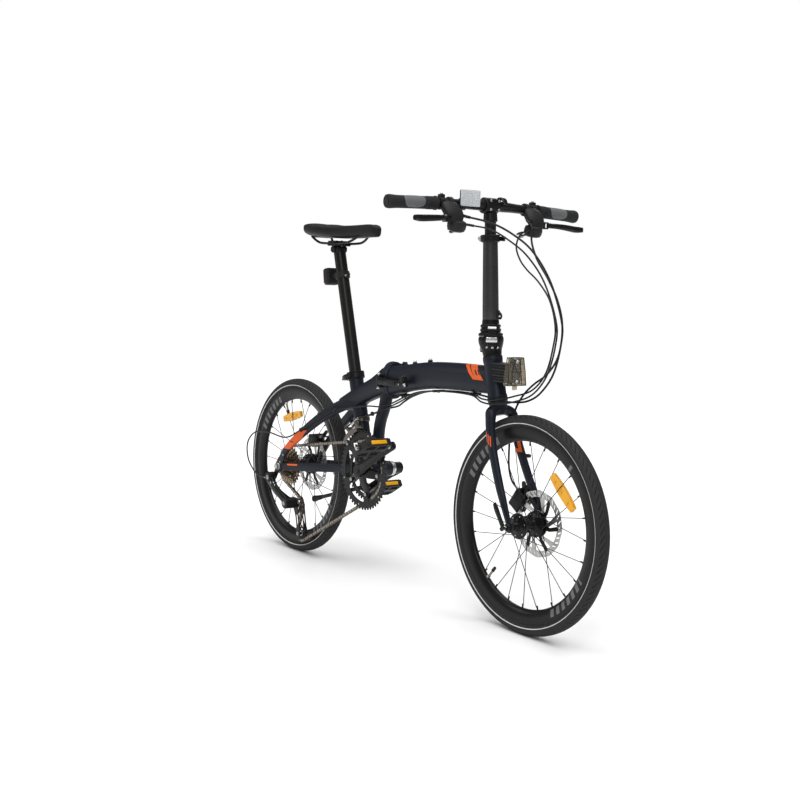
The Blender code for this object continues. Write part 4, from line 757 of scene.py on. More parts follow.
def make_spokes(prefix, axle, body, flanges):
    """Twelve crossed spokes on each side, with their bent heads in the hub flanges."""
    piece = Piece(f"{prefix}_spoke_wires", body, "black_alloy", [f"{prefix}_spokes"], axle)
    for flange, first in zip(flanges, (0, SPOKE_STEP / 2)):
        outward = 1 if flange > 0 else -1
        for k in range(SPOKES_PER_SIDE):
            lean = 60 if k % 2 == 0 else -60
            face = flange + (0.0022 if k % 2 == 0 else -0.0022)
            x, z = polar_point(RIM_INNER - 0.004, first + SPOKE_STEP * k)
            hub_x, hub_z = polar_point(0.0235, first + SPOKE_STEP * k + lean)
            start = axle + Vector((hub_x, face, hub_z))
            end = axle + Vector((x, outward * 0.002, z))
            piece.add(wire([start, start.lerp(end, 0.5), end], 0.00095, 6, 0.06), SPOKE)
            head = rod(0.0012, 0.0019, chamfer=0.0003, steps=8)
            piece.add(head, SATIN_STEEL, at(axle + Vector((hub_x, 2 * flange - face, hub_z)), Y_AXIS))
    piece.make()


def make_hub(prefix, axle, body, flanges, shell_radius, disc_y, end_left, end_right):
    """Hub shell with drilled flanges, disc mount and end caps."""
    left, right = flanges
    piece = Piece(f"{prefix}_hub_shell", body, "black_alloy", [f"{prefix}_hub"], axle)
    outline = [(0.0056, end_left), (0.0085, end_left), (0.009, end_left - 0.001), (0.009, disc_y + 0.004),
        (0.015, disc_y + 0.003), (0.016, disc_y + 0.001), (0.0225, disc_y - 0.0012),
        (0.0225, disc_y - 0.004), (0.017, left + 0.003), (0.02, left + 0.0022), (0.03, left + 0.0018),
        (FLANGE_RADIUS, left), (0.03, left - 0.0018), (0.022, left - 0.0032),
        (shell_radius + 0.0015, left - 0.0085), (shell_radius, left - 0.013), (shell_radius, right + 0.013),
        (shell_radius + 0.0015, right + 0.0085), (0.022, right + 0.0032), (0.03, right + 0.0018),
        (FLANGE_RADIUS, right), (0.03, right - 0.0018), (0.019, right - 0.0026), (0.012, right - 0.006),
        (0.01, end_right + 0.002), (0.009, end_right), (0.0056, end_right)]
    piece.add(revolve(outline, 56, closed=True), BLACK_GLOSS, at(axle, Y_AXIS))
    for flange in flanges:
        for k in range(SPOKES_PER_SIDE):
            x, z = polar_point(0.0262, SPOKE_STEP * (k + (flange < 0) / 2))
            piece.add(rod(0.004, 0.0016, chamfer=0.0002, steps=8), PLASTIC,
                at(axle + Vector((x, flange, z)), Y_AXIS))
    piece.make()


def make_rotor(prefix, axle, body, disc_y):
    """Brake disc: drilled wavy ring on six slanted arms, held by six bolts."""
    wave = 0.0009
    loops = [[polar_point(DISC_RADIUS - wave + wave * math.cos(math.radians(48 * k)), 4 * k)
        for k in range(90)]]
    for k in range(6):
        loops.append(sector(0.0315, 0.0635, 60 * k + 6, 60 * k + 52, lean=22))
    for k in range(36):
        inner = 0.0668 + 0.0018 * (k % 2)
        slot = strip([polar_point(inner, 10 * k), polar_point(inner + 0.0072, 10 * k + 4.5)],
            [0.0014, 0.0014])
        loops.append(slot)
    loops.append(circle(0.0178, 32))
    centre = axle + Y_AXIS * disc_y
    piece = Piece(f"{prefix}_rotor_disc", body, "bright_steel", [f"{prefix}_rotor"], axle)
    piece.add(plate(loops, 0.0018, 0.0002), SATIN_STEEL, upright(centre))
    for k in range(6):
        line = [polar_point(r, 60 * k - back) for r, back in ((0.02, 14), (0.04, 11), (0.0632, 1))]
        arm = strip(line, [0.0062, 0.0046, 0.0052])
        piece.add(plate([arm], 0.0026, 0.0004), BLACK, upright(centre))
    piece.add(collar(0.003, 0.0178, 0.03, 0.0006, 48), BLACK, at(centre, Y_AXIS))
    for k in range(6):
        x, z = polar_point(0.022, 60 * k + 30)
        piece.add(bolt(0.0038, 0.0024), BLACK, at(centre + Vector((x, 0.0009, z)), Y_AXIS))
    piece.make()


def make_reflector(prefix, body, centre, run):
    """Amber reflector clipped between two spokes."""
    run = Vector((run[0], 0, run[1])).normalized()
    centre = Vector(centre)
    half_length, half_height = 0.05, 0.0125
    edge = [(k / 6 - 1, -1) for k in range(13)] + [(1 - k / 6, 1) for k in range(13)]
    outline = [(half_length * u, half_height * v * (1 - 0.35 * u * u)) for u, v in edge]
    piece = Piece(f"{prefix}_wheel_reflector", body, "black_plastic")
    spin = math.atan2(run.z, run.x)
    for y in (0.0026, -0.0026):
        piece.add(plate([outline], 0.0046, 0.0012), AMBER, upright(centre + Y_AXIS * y, spin))
    for u in (-0.6, 0.0, 0.6):
        piece.add(rod(0.017, 0.0022, chamfer=0.0004, steps=12), AMBER,
            at(centre + run * (half_length * u), Y_AXIS))
    piece.make()


def make_wheels():
    for prefix, axle, flanges, shell, disc_y, cap, end_right, valve in (("front", FRONT_AXLE,
            (0.0255, -0.0255), 0.0125, FRONT_DISC_Y, 0.011, -0.0485, -130),
            ("rear", REAR_AXLE, (0.0335, -0.021), 0.0135, REAR_DISC_Y, 0.018, -0.0305, 115)):
        body = f"{prefix}_wheel"
        make_tyre(prefix, axle, body)
        make_rim(prefix, axle, body, valve)
        make_spokes(prefix, axle, body, flanges)
        make_hub(prefix, axle, body, flanges, shell, disc_y, disc_y + cap, end_right)
        make_rotor(prefix, axle, body, disc_y)
    make_reflector("front", "front_wheel", (0.616, 0, 0.353), (0.082, -0.079))
    make_reflector("rear", "rear_wheel", (-0.544, 0, 0.398), (0.114, 0.031))


# ---------------------------------------------------------------- frame

def hinge_flange(low_x, high_x):
    """Oval flange of the main hinge with a rolled edge."""
    loops = []
    for x, scale in ((low_x, 0.93), (low_x + 0.0015, 0.98), ((low_x + high_x) / 2, 1.0),
            (high_x - 0.0015, 0.98), (high_x, 0.93)):
        loops.append([Vector((x, 0.003 + 0.033 * scale * u, MAIN_HINGE.z + 0.05 * scale * v))
            for u, v in oval(48, 2.2)])
    return join_loops(loops)


def make_rear_frame():
    piece = Piece("rear_frame_body", "rear_half", "frame_paint", ["rear_frame"])
    squared = oval(40, 2.7)
    piece.add(skin([((-0.053, 0, 0.548), 0.0255, 0.04), ((-0.06, 0, 0.5475), 0.025, 0.0385),
        ((-0.085, 0, 0.537), 0.024, 0.033), ((-0.12, 0, 0.522), 0.024, 0.0285),
        ((-0.17, 0, 0.502), 0.025, 0.0262), ((-0.215, 0, 0.4825), 0.029, 0.0235),
        ((-0.248, 0, 0.467), 0.033, 0.021)], squared), NAVY)
    piece.add(hinge_flange(-0.0565, -0.0453), NAVY)
    seat_stay = [((-0.18, 0.013, 0.4905), 0.008, 0.0175), ((-0.24, 0.03, 0.462), 0.0085, 0.0168),
        ((-0.275, 0.041, 0.444), 0.0085, 0.0158), ((-0.339, 0.052, 0.406), 0.008, 0.0142),
        ((-0.403, 0.06, 0.362), 0.0075, 0.0125), ((-0.459, 0.066, 0.318), 0.0065, 0.011),
        ((-0.5, 0.0705, 0.27), 0.0032, 0.0106)]
    chain_stay = [((-0.115, 0.018, 0.3), 0.0075, 0.012), ((-0.2, 0.0285, 0.291), 0.0055, 0.0125),
        ((-0.26, 0.0355, 0.2845), 0.006, 0.0125), ((-0.34, 0.05, 0.2755), 0.0065, 0.0125),
        ((-0.43, 0.0625, 0.2655), 0.0055, 0.012), ((-0.5, DROPOUT_Y, 0.2585), 0.0032, 0.0105)]
    for _, side in SIDES:
        piece.add(skin(mirrored_rows(side, seat_stay), oval(28, 3.2)), NAVY)
        piece.add(skin(mirrored_rows(side, chain_stay), oval(28, 3.2)), NAVY)
        piece.add(plate([strip([(-0.48, 0.29), (-0.492, 0.272), (-0.501, 0.2575)], [0.01, 0.014, 0.017])],
            0.006, 0.0006), NAVY, upright((0, side * DROPOUT_Y, 0)))
    piece.add(skin([((-0.064, 0, 0.525), 0.0165, 0.02), ((-0.076, 0, 0.475), 0.016, 0.0175),
        ((-0.091, 0, 0.438), 0.016, 0.0165), ((-0.0985, 0, 0.4), 0.016, 0.0162),
        ((-0.098, 0, 0.35), 0.016, 0.0162), ((-0.095, 0, 0.308), 0.016, 0.0162)]), NAVY)
    piece.add(rod(0.068, 0.0212, chamfer=0.001, steps=48), NAVY, at(CRANK_AXIS, Y_AXIS))
    piece.add(rod(SEAT_TUBE_LENGTH + 0.018, SEAT_TUBE_RADIUS, chamfer=0.0008, steps=48), NAVY,
        span(seat_point(-0.018), seat_point(SEAT_TUBE_LENGTH)))
    piece.add(rod(0.02, SEAT_TUBE_RADIUS + 0.001, chamfer=0.0008, steps=48), NAVY,
        span(seat_point(SEAT_TUBE_LENGTH - 0.0185), seat_point(SEAT_TUBE_LENGTH - 0.0005)))
    piece.add(box((0.046, 0.036, 0.03), 0.006, 3), NAVY, turned((-0.121, 0, 0.3)))
    piece.add(box((0.024, 0.006, 0.056), 0.002, 2), NAVY, turned((-0.215, 0.033, 0.256)))
    stand_axis = axis_of("kickstand_fold")
    stand = pivot_of("kickstand_fold")
    piece.add(rod(0.009, 0.0095, chamfer=0.0006), NAVY, at(stand + stand_axis * 0.0048, stand_axis))
    for low, high in ((0.506, 0.5185), (0.5815, 0.594)):
        piece.add(rod(high - low, 0.009, chamfer=0.001), NAVY,
            at((MAIN_HINGE.x, MAIN_HINGE.y, (low + high) / 2)))
        piece.add(box((0.0108, 0.037, high - low - 0.0006), 0.0016, 2), NAVY,
            turned((-0.051, 0.0225, (low + high) / 2)))
    for distance in (0.155, 0.172):
        piece.add(collar(0.0024, SEAT_TUBE_RADIUS - 0.001, SEAT_TUBE_RADIUS + 0.0006, 0.0005), NAVY,
            at(seat_point(distance), SEAT_DIRECTION))
    for x, z in ((-0.473, 0.295), (-0.489, 0.272)):
        piece.add(bolt(0.003, 0.002), SATIN_STEEL, at((x, -0.0742, z), -Y_AXIS))
    piece.make()


def make_hanger():
    """Plate that the rear derailleur hangs from."""
    hanger = Piece("derailleur_hanger", "rear_half", "bright_steel")
    outline = strip([(-0.495, 0.276), (-0.502, 0.256), (-0.513, 0.237), (-0.5215, 0.223)],
        [0.01, 0.0115, 0.009, 0.0085])
    hanger.add(plate([outline], 0.0044, 0.0006), BLACK, upright((0, HANGER_Y, 0)))
    hanger.make()


def make_bottom_bracket():
    """Notched cups on both sides of the crank axle."""
    cups = Piece("bottom_bracket_cups", "rear_half", "bright_steel", ["bottom_bracket"])
    for side in (1, -1):
        cups.add(revolve([(0.0105, 0.0375), (0.019, 0.0375), (0.0208, 0.0368), (0.0208, 0.0348),
            (0.0168, 0.0344), (0.0168, 0.025), (0.0105, 0.025)], 48, closed=True), STEEL,
            at(CRANK_AXIS, side * Y_AXIS))
        for k in range(12):
            x, z = polar_point(0.0207, 30 * k)
            cups.add(box((0.0016, 0.0018, 0.0024), 0.0003, 1), SATIN_STEEL,
                turned(CRANK_AXIS + Vector((x, side * 0.0358, z)), y_degrees=-30 * k))
    cups.make()


def main_section():
    """Outline of the main tube: arched top, nearly flat sides, and a narrower flat underside."""
    half = [(0.0, 1.0), (0.45, 0.96), (0.8, 0.78), (0.97, 0.45), (1.0, 0.05), (0.985, -0.36),
        (0.975, -0.42), (0.72, -0.84), (0.55, -0.97), (0.3, -1.0)]
    right = spread([(u, v, 0) for u, v in half[:6]], 0.12) + [Vector((u, v, 0)) for u, v in half[6:]]
    left = [Vector((-p.x, p.y, 0)) for p in right[1:]]
    return [(p.x, p.y) for p in right] + [(p.x, p.y) for p in reversed(left)]


def make_front_frame():
    piece = Piece("front_frame_body", "front_half", "frame_paint", ["front_frame"])
    piece.add(skin([((-0.038, 0, 0.55), 0.0255, 0.04), ((0.0, 0, 0.5555), 0.0245, 0.0365),
        ((0.06, 0, 0.567), 0.024, 0.035), ((0.13, 0, 0.5768), 0.024, 0.0345),
        ((0.21, 0, 0.5815), 0.024, 0.0342), ((0.29, 0, 0.5835), 0.023, 0.034),
        ((0.362, 0, 0.584), 0.0205, 0.0335)], main_section()), NAVY)
    piece.add(hinge_flange(-0.0447, -0.0335), NAVY)
    low, high = (steer_point(d) for d in (-0.0505, 0.0495))
    length = (high - low).length
    piece.add(revolve([(0.0185, -length / 2), (0.024, -length / 2), (0.0244, -length / 2 + 0.002),
        (0.024, -length / 2 + 0.009), (HEAD_TUBE_RADIUS, -length / 2 + 0.013),
        (HEAD_TUBE_RADIUS, length / 2 - 0.013), (0.0236, length / 2 - 0.009), (0.024, length / 2 - 0.002),
        (0.0236, length / 2), (0.0185, length / 2)], 56, closed=True), NAVY,
        at((low + high) / 2, STEER_DIRECTION))
    piece.add(rod(0.0616, 0.009, chamfer=0.001), NAVY, at((MAIN_HINGE.x, MAIN_HINGE.y, 0.55)))
    piece.add(box((0.0106, 0.024, 0.061), 0.0016, 2), NAVY, turned((-0.0392, 0.029, 0.55)))
    for x, z in ((0.052, 0.6055), (0.116, 0.6155)):
        piece.add(rod(0.012, 0.0066, 0.006, 0.0006, 28), NAVY, at((x, 0, z - 0.006)))
        piece.add(bolt(0.0046, 0.004), STEEL, at((x, 0, z)))
    for x, y, z in ((0.3, -0.004, 0.551), (0.155, 0.0, 0.5435), (0.015, -0.004, 0.52)):
        piece.add(box((0.009, 0.038, 0.006), 0.0014, 2), PLASTIC, turned((x, y, z - 0.004)))
        piece.add(bolt(0.003, 0.0022), SATIN_STEEL, at((x, y, z - 0.007), -Z_AXIS))
    piece.make()


def make_headset():
    """Cups at both ends of the head tube."""
    for name, distance, radius, way in (("upper", 0.0532, 0.0236, 1), ("lower", -0.0542, 0.0242, -1)):
        cup = Piece(f"headset_{name}_cup", "front_half", "black_alloy")
        cup.add(revolve([(0.0148, -0.0034), (radius, -0.0034), (radius + 0.0004, -0.0016),
            (radius, -0.0002), (radius - 0.0012, 0.0004), (radius - 0.0006, 0.0014),
            (radius - 0.0018, 0.003), (0.0165, 0.0034), (0.0148, 0.0034)], 56, closed=True), BLACK,
            at(steer_point(distance), way * STEER_DIRECTION))
        cup.make()


def make_hinge_bolt():
    """The main hinge's pin, with a bolt head at each end."""
    pin = Piece("main_hinge_bolt", "rear_half", "bright_steel", ["main_hinge_pin"])
    pin.add(rod(0.092, 0.004, chamfer=0.0004), SATIN_STEEL, at(MAIN_HINGE))
    for way in (1, -1):
        pin.add(bolt(0.007, 0.0042), BLACK, at(MAIN_HINGE + Z_AXIS * way * 0.0442, way * Z_AXIS))
    pin.make()


def make_luggage_block():
    """Smoked clear block with ribs, on a black ribbed bracket clamped to the head tube."""
    piece = Piece("luggage_block_shell", "front_half", "smoked_plastic", ["luggage_block"])
    outline = [(-0.0278, 0.579), (-0.0265, 0.578), (0.03, 0.578), (0.0313, 0.579), (0.0275, 0.611),
        (0.021, 0.6436), (0.0192, 0.645), (-0.0182, 0.645), (-0.02, 0.6436), (-0.025, 0.611)]
    wall = [outline, [(y * 0.84, BLOCK_Z + (z - BLOCK_Z) * 0.88) for y, z in outline]]
    rim = [outline, [(y * 0.93, BLOCK_Z + (z - BLOCK_Z) * 0.95) for y, z in outline]]
    for loops, thickness, bevel, material, x in ((wall, 0.016, 0.0012, SMOKE, BLOCK_X),
            ([outline], 0.003, 0.001, SMOKE, 0.4436), (rim, 0.0012, 0.0003, PLASTIC, 0.445)):
        piece.add(plate(loops, thickness, bevel), material, shift(x) @ FACING_FORWARD)
    for y in (-0.012, 0.013):
        piece.add(box((0.013, 0.0022, 0.06), 0.0006, 1), PLASTIC, turned((0.4358, y, BLOCK_Z)))
        piece.add(box((0.0016, 0.0018, 0.061), 0.0004, 1), PLASTIC,
            turned((0.445, y, 0.6112), x_degrees=y * 480))
    for z in (0.593, 0.611, 0.629):
        piece.add(box((0.013, 0.04, 0.002), 0.0006, 1), PLASTIC, turned((0.4358, 0, z)))
    for z in (0.588, 0.635):
        piece.add(rod(0.013, 0.005, chamfer=0.0006, steps=24), PLASTIC, at((BLOCK_X, 0, z), X_AXIS))
        piece.add(bolt(0.0044, 0.0024), STEEL, at((0.445, 0, z), X_AXIS))
    for k in range(7):
        z = 0.5855 + 0.0068 * k
        depth = 0.056 if k % 2 == 0 else 0.053
        piece.add(box((depth, 0.038 - 0.004 * (k % 2), 0.005), 0.0012, 1), PLASTIC, turned((0.402, 0, z)))
    piece.add(box((0.052, 0.03, 0.044), 0.002, 2), PLASTIC, turned((0.401, 0, 0.606)))
    piece.add(box((0.006, 0.012, 0.012), 0.0014, 2), LABEL, turned((0.439, 0, 0.5735)))
    piece.make()


def make_fork():
    piece = Piece("fork_body", "steering_body", "frame_paint", ["fork"])
    crown_low = steer_point(-0.086)
    race = steer_point(-0.058)
    piece.add(revolve([(0, -0.016), (0.018, -0.016), (0.0205, -0.012), (0.0212, -0.004), (0.0216, 0.008),
        (0.0228, 0.013), (0.0224, 0.014), (0, 0.014)], 48), NAVY_FORK,
        at((crown_low + race) / 2, STEER_DIRECTION))
    piece.add(rod(0.136, 0.0143, chamfer=0.0006), BLACK, at(steer_point(0.008), STEER_DIRECTION))
    blade = [((0.3905, 0.004, 0.5165), 0.015, 0.0125), ((0.3915, 0.018, 0.5155), 0.0152, 0.0128),
        ((0.394, 0.0285, 0.5115), 0.0148, 0.0124), ((0.3985, 0.0345, 0.503), 0.014, 0.0112),
        ((0.404, 0.0385, 0.473), 0.0126, 0.0096), ((0.415, 0.0415, 0.438), 0.0119, 0.0089),
        ((0.432, 0.045, 0.398), 0.0115, 0.0085), ((0.453, 0.0485, 0.353), 0.0111, 0.0081),
        ((0.471, 0.0515, 0.32), 0.0105, 0.0073), ((0.497, FORK_TIP_Y, 0.266), 0.0085, 0.0036)]
    for _, side in SIDES:
        piece.add(skin(mirrored_rows(side, blade), oval(32, 2.2), side=X_AXIS), NAVY_FORK)
        end = FRONT_AXLE + Y_AXIS * side * FORK_TIP_Y
        piece.add(plate([circle(0.0135, 40), circle(0.0056, 24)], 0.006, 0.0006), NAVY_FORK, upright(end))
    piece.add(plate([strip([(0.434, 0.342), (0.442, 0.302)], [0.006, 0.006])], 0.005, 0.0006), NAVY_FORK,
        upright((0, 0.048, 0)))
    piece.make()


def caliper_shapes(piece, centre, degrees, disc_y, side_out):
    """Cable disc brake: two-part body round the disc, round adjuster, cable arm and bolts."""
    turn = turned(centre, y_degrees=degrees)
    outer = disc_y + 0.0062
    for y, depth in ((outer + 0.005, 0.01), (disc_y - 0.0064, 0.0082)):
        piece.add(box((0.031, depth, 0.05), 0.0045, 3), BLACK, turn @ shift(0, y - centre[1], 0))
    piece.add(box((0.011, 0.021, 0.05), 0.0026, 2), BLACK, turn @ shift(side_out * 0.016, 0, 0))
    face = turn @ shift(0, outer + 0.01 - centre[1], 0)
    piece.add(rod(0.012, 0.0165, 0.015, 0.0016, 40), BLACK_GLOSS, face @ shift(0, 0.003, -0.002) @ ON_SIDE)
    piece.add(rod(0.005, 0.01, 0.0094, 0.0008, 28), PLASTIC, face @ shift(0, 0.0106, -0.002) @ ON_SIDE)
    piece.add(bolt(0.0044, 0.0026), SATIN_STEEL, face @ shift(0, 0.013, -0.002) @ ON_SIDE)
    arm = strip([(0.0, -0.002), (-0.01, 0.014), (-0.019, 0.027)], [0.009, 0.0066, 0.0058])
    piece.add(plate([arm], 0.0044, 0.0008), BLACK, face @ shift(0, 0.0062, 0) @ UPRIGHT)
    piece.add(bolt(0.0042, 0.0034), SATIN_STEEL, face @ shift(-0.019, 0.0088, 0.027) @ ON_SIDE)
    for z in (0.0195, -0.0195):
        piece.add(rod(0.011, 0.0068, 0.0062, 0.001, 24), BLACK,
            turn @ shift(0.0095, outer + 0.0075 - centre[1], z) @ ON_SIDE)
        piece.add(bolt(0.0038, 0.003), SATIN_STEEL,
            turn @ shift(0.0095, outer + 0.013 - centre[1], z) @ ON_SIDE)
    for k in range(5):
        fin = shift(side_out * 0.0185, disc_y + 0.006 - centre[1], -0.019 + 0.0092 * k)
        piece.add(box((0.011, 0.016, 0.0034), 0.0006, 1), BLACK, turn @ fin)


def make_calipers():
    front = Piece("front_caliper_body", "steering_body", "black_alloy", ["front_caliper"])
    caliper_shapes(front, Vector((0.435, FRONT_DISC_Y, 0.3)), 35, FRONT_DISC_Y, -1)
    front.make()
    rear = Piece("rear_caliper_body", "rear_half", "black_alloy", ["rear_caliper"])
    caliper_shapes(rear, Vector((-0.49, 0.0465, 0.334)), 82, REAR_DISC_Y, 1)
    rear.make()


def make_front_axle():
    front = Piece("front_axle_ends", "steering_body", "bright_steel", ["front_axle"])
    front.add(rod(0.119, 0.0048, steps=24), SATIN_STEEL, at(FRONT_AXLE, Y_AXIS))
    for side in (1, -1):
        front.add(rod(0.007, 0.0095, 0.0085, 0.0008, 6 if side > 0 else 32), BLACK,
            at(FRONT_AXLE + Y_AXIS * side * 0.06, side * Y_AXIS))
    front.make()


def make_rear_axle():
    """Axle with its washers and nuts."""
    rear = Piece("rear_axle_ends", "rear_half", "bright_steel", ["rear_axle"])
    rear.add(rod(0.15, 0.0048, steps=24), SATIN_STEEL, at(REAR_AXLE, Y_AXIS))
    for side in (1, -1):
        for shape, y in ((rod(0.0025, 0.0105, 0.01, 0.0006, 32), 0.0755),
                (rod(0.007, 0.009, 0.0085, 0.001, 6), 0.08)):
            rear.add(shape, SATIN_STEEL, at(REAR_AXLE + Y_AXIS * side * y, side * Y_AXIS))
    rear.make()


def make_front_lever():
    """Quick release lever beside the front hub."""
    pivot = pivot_of("front_qr_open")
    cam = axis_of("front_qr_open")
    lever = Piece("front_wheel_lever", "front_qr", "black_alloy", ["front_qr_lever"])
    lever.add(rod(0.016, 0.0052, steps=24), BLACK_GLOSS, at(pivot, cam))
    lever.add(skin(rows_from(pivot, (((0, 0, 0), 0.006, 0.0036), ((-0.012, -0.001, 0.02), 0.0062, 0.003),
        ((-0.026, -0.0005, 0.04), 0.007, 0.0025), ((-0.035, 0.001, 0.052), 0.0048, 0.0018))), oval(20, 3.0),
        side=X_AXIS), BLACK_GLOSS)
    lever.add(bolt(0.003, 0.0015), STEEL, at(pivot + cam * 0.0078, cam))
    lever.make()


# ---------------------------------------------------------------- handlepost

def make_post_base():
    piece = Piece("handlepost_base_body", "steering_body", "black_alloy", ["handlepost_base"])
    low = steer_point(0.057)
    top = POST_FOOT - POST_DIRECTION * 0.0004
    piece.add(skin([(low, 0.0226, 0.0226), (low.lerp(top, 0.25), 0.024, 0.024),
        (low.lerp(top, 0.55), 0.0285, 0.0285), (low.lerp(top, 0.8), 0.0306, 0.0306),
        (top - POST_DIRECTION * 0.0015, 0.0292, 0.0292), (top, 0.028, 0.028)], oval(48), 0.004), BLACK)
    piece.add(box((0.019, 0.017, 0.011), 0.002, 2), BLACK,
        turned(POST_HINGE + HINGE_INWARD * 0.009 - Z_AXIS * 0.0082, z_degrees=-45))
    piece.add(rod(0.019, 0.0063, chamfer=0.0006), BLACK, at(POST_HINGE, HINGE_ALONG))
    for k in range(3):
        around = Vector((math.cos(0.5 * k - 1.15), math.sin(0.5 * k - 1.15), 0))
        piece.add(bolt(0.003, 0.0024), STEEL, at(low.lerp(top, 0.42) + around * 0.0262, around))
    piece.add(box((0.013, 0.024, 0.015), 0.003, 3), BLACK,
        turned(low.lerp(top, 0.28) + Vector((-0.025, 0, 0))))
    piece.add(bolt(0.0036, 0.003), SATIN_STEEL,
        at(low.lerp(top, 0.28) + Vector((-0.025, -0.012, 0)), -Y_AXIS))
    piece.make()


def make_handlepost():
    """Folding post with a flared, ribbed foot and a tapering tube."""
    piece = Piece("handlepost_body", "post_body", "grey_anodised", ["handlepost"])
    foot = [(0.0004, 0.0286), (0.002, 0.0296), (0.006, 0.0294), (0.0082, 0.027), (0.0092, 0.0238),
        (0.011, 0.0236), (0.0118, 0.025), (0.0132, 0.0254), (0.017, 0.0252), (0.0182, 0.024),
        (0.019, 0.0226), (0.0206, 0.0226), (0.0214, 0.024), (0.0228, 0.0246), (0.0262, 0.0244),
        (0.0278, 0.0228), (0.0292, 0.0208), (0.0392, 0.02)]
    outline = [(0, 0.0004)] + [(r, h) for h, r in foot] + [(0, 0.0392)]
    piece.add(revolve(outline, 56), BLACK, at(POST_FOOT, POST_DIRECTION))
    tube = [(0.0145, 0.0385), (0.0196, 0.0385), (0.0194, 0.07), (0.0189, 0.12), (0.0181, 0.19),
        (0.01745, POST_LENGTH - 0.0008), (0.0168, POST_LENGTH), (0.0141, POST_LENGTH), (0.0141, 0.09)]
    piece.add(revolve(tube, 56, closed=True), POST_GREY, at(POST_FOOT, POST_DIRECTION))
    piece.add(rod(0.04, 0.0026, chamfer=0.0004, steps=20), STEEL, at(POST_HINGE, HINGE_ALONG))
    for side in (1, -1):
        start = POST_HINGE + HINGE_ALONG * side * 0.01
        piece.add(rod(0.0095, 0.0063, chamfer=0.0006), BLACK,
            at(start + HINGE_ALONG * side * 0.00475, HINGE_ALONG))
        piece.add(box((0.021, 0.0085, 0.011), 0.0018, 2), BLACK,
            turned(start + HINGE_ALONG * side * 0.0048 + HINGE_INWARD * 0.01 + Z_AXIS * 0.006,
            z_degrees=-45))
    hook = post_point(0.052)
    bend = [hook + Vector(step) for step in ((0.018, 0.006, 0.006), (0.025, 0.008, 0.004),
        (0.029, 0.009, -0.003), (0.025, 0.009, -0.009), (0.0205, 0.008, -0.006))]
    piece.add(wire(bend, 0.0026, 12, 0.002), PLASTIC)
    piece.add(box((0.006, 0.011, 0.014), 0.0016, 2), PLASTIC, turned(hook + Vector((0.0185, 0.006, 0.004))))
    piece.make()


def make_post_collar():
    """Clamp at the post's top, with its closed lever."""
    ring = Piece("handlepost_collar_ring", "post_body", "black_alloy", ["handlepost_collar"])
    centre = post_point(POST_LENGTH - 0.009)
    ring.add(collar(0.017, 0.0178, 0.0222, 0.0014), BLACK, at(centre, POST_DIRECTION))
    ring.add(collar(0.003, 0.0178, 0.023, 0.0008), BLACK,
        at(centre + POST_DIRECTION * 0.007, POST_DIRECTION))
    ring.add(box((0.013, 0.015, 0.014), 0.002, 2), BLACK, turned(centre + Vector((-0.0262, 0, 0))))
    ring.add(rod(0.026, 0.0028, steps=16), SATIN_STEEL, at(centre + Vector((-0.027, 0, 0)), Y_AXIS))
    ring.add(bolt(0.005, 0.004), SATIN_STEEL, at(centre + Vector((-0.027, -0.0095, 0)), -Y_AXIS))
    ring.add(skin(rows_from(centre, (((-0.027, 0.011, 0.001), 0.005, 0.0034),
        ((-0.012, 0.023, 0.0015), 0.0052, 0.003), ((0.008, 0.0265, 0.001), 0.0055, 0.0026),
        ((0.024, 0.024, -0.001), 0.0045, 0.0018))), oval(18, 3.0), 0.004, side=Z_AXIS), BLACK_GLOSS)
    ring.make()


def make_post_latch():
    """Chrome latch plate over the post hinge."""
    latch_centre = pivot_of("handlepost_latch_open")
    outward = Vector((0.8, -0.6, 0)).normalized()
    turn = math.degrees(math.atan2(outward.y, outward.x))
    latch = Piece("handlepost_latch_plate", "post_latch", "bright_steel", ["handlepost_latch"])
    middle = latch_centre - Z_AXIS * 0.0285
    latch.add(box((0.0044, 0.018, 0.026), 0.0018, 3), BLACK,
        turned(middle + Z_AXIS * 0.015, z_degrees=turn))
    latch.add(box((0.0052, 0.027, 0.0125), 0.002, 4), STEEL, turned(middle, z_degrees=turn))
    latch.add(box((0.006, 0.019, 0.011), 0.0022, 3), BLACK, turned(middle - Z_AXIS * 0.011, z_degrees=turn))
    latch.add(rod(0.02, 0.0034, chamfer=0.0004, steps=18), STEEL, at(latch_centre, outward.cross(Z_AXIS)))
    latch.make()


# ---------------------------------------------------------------- cockpit

def bar_point(distance, side):
    """Point on the straight part of the bar, and the outward direction there."""
    start, end = mirrored(BAR_STRAIGHT, side), mirrored(BAR_END, side)
    direction = (end - start).normalized()
    return start + direction * (distance - BAR_STRAIGHT.y), direction


def make_bar():
    half = [((*BAR_END,), 0.0111), ((*BAR_STRAIGHT,), 0.0111), ((0.3185, 0.085, 0.998), 0.0112),
        ((0.3205, 0.056, 0.9988), 0.0122), ((BAR_CENTRE.x, 0.042, BAR_CENTRE.z), 0.0127)]
    rows = half + [((x, -y, z), r) for (x, y, z), r in reversed(half)]
    bar = Piece("handlebar_tube", "cockpit", "black_alloy", ["handlebar"])
    bar.add(skin([(point, r, r) for point, r in rows], oval(32), 0.008, side=X_AXIS), DARK_STEM)
    bar.make()


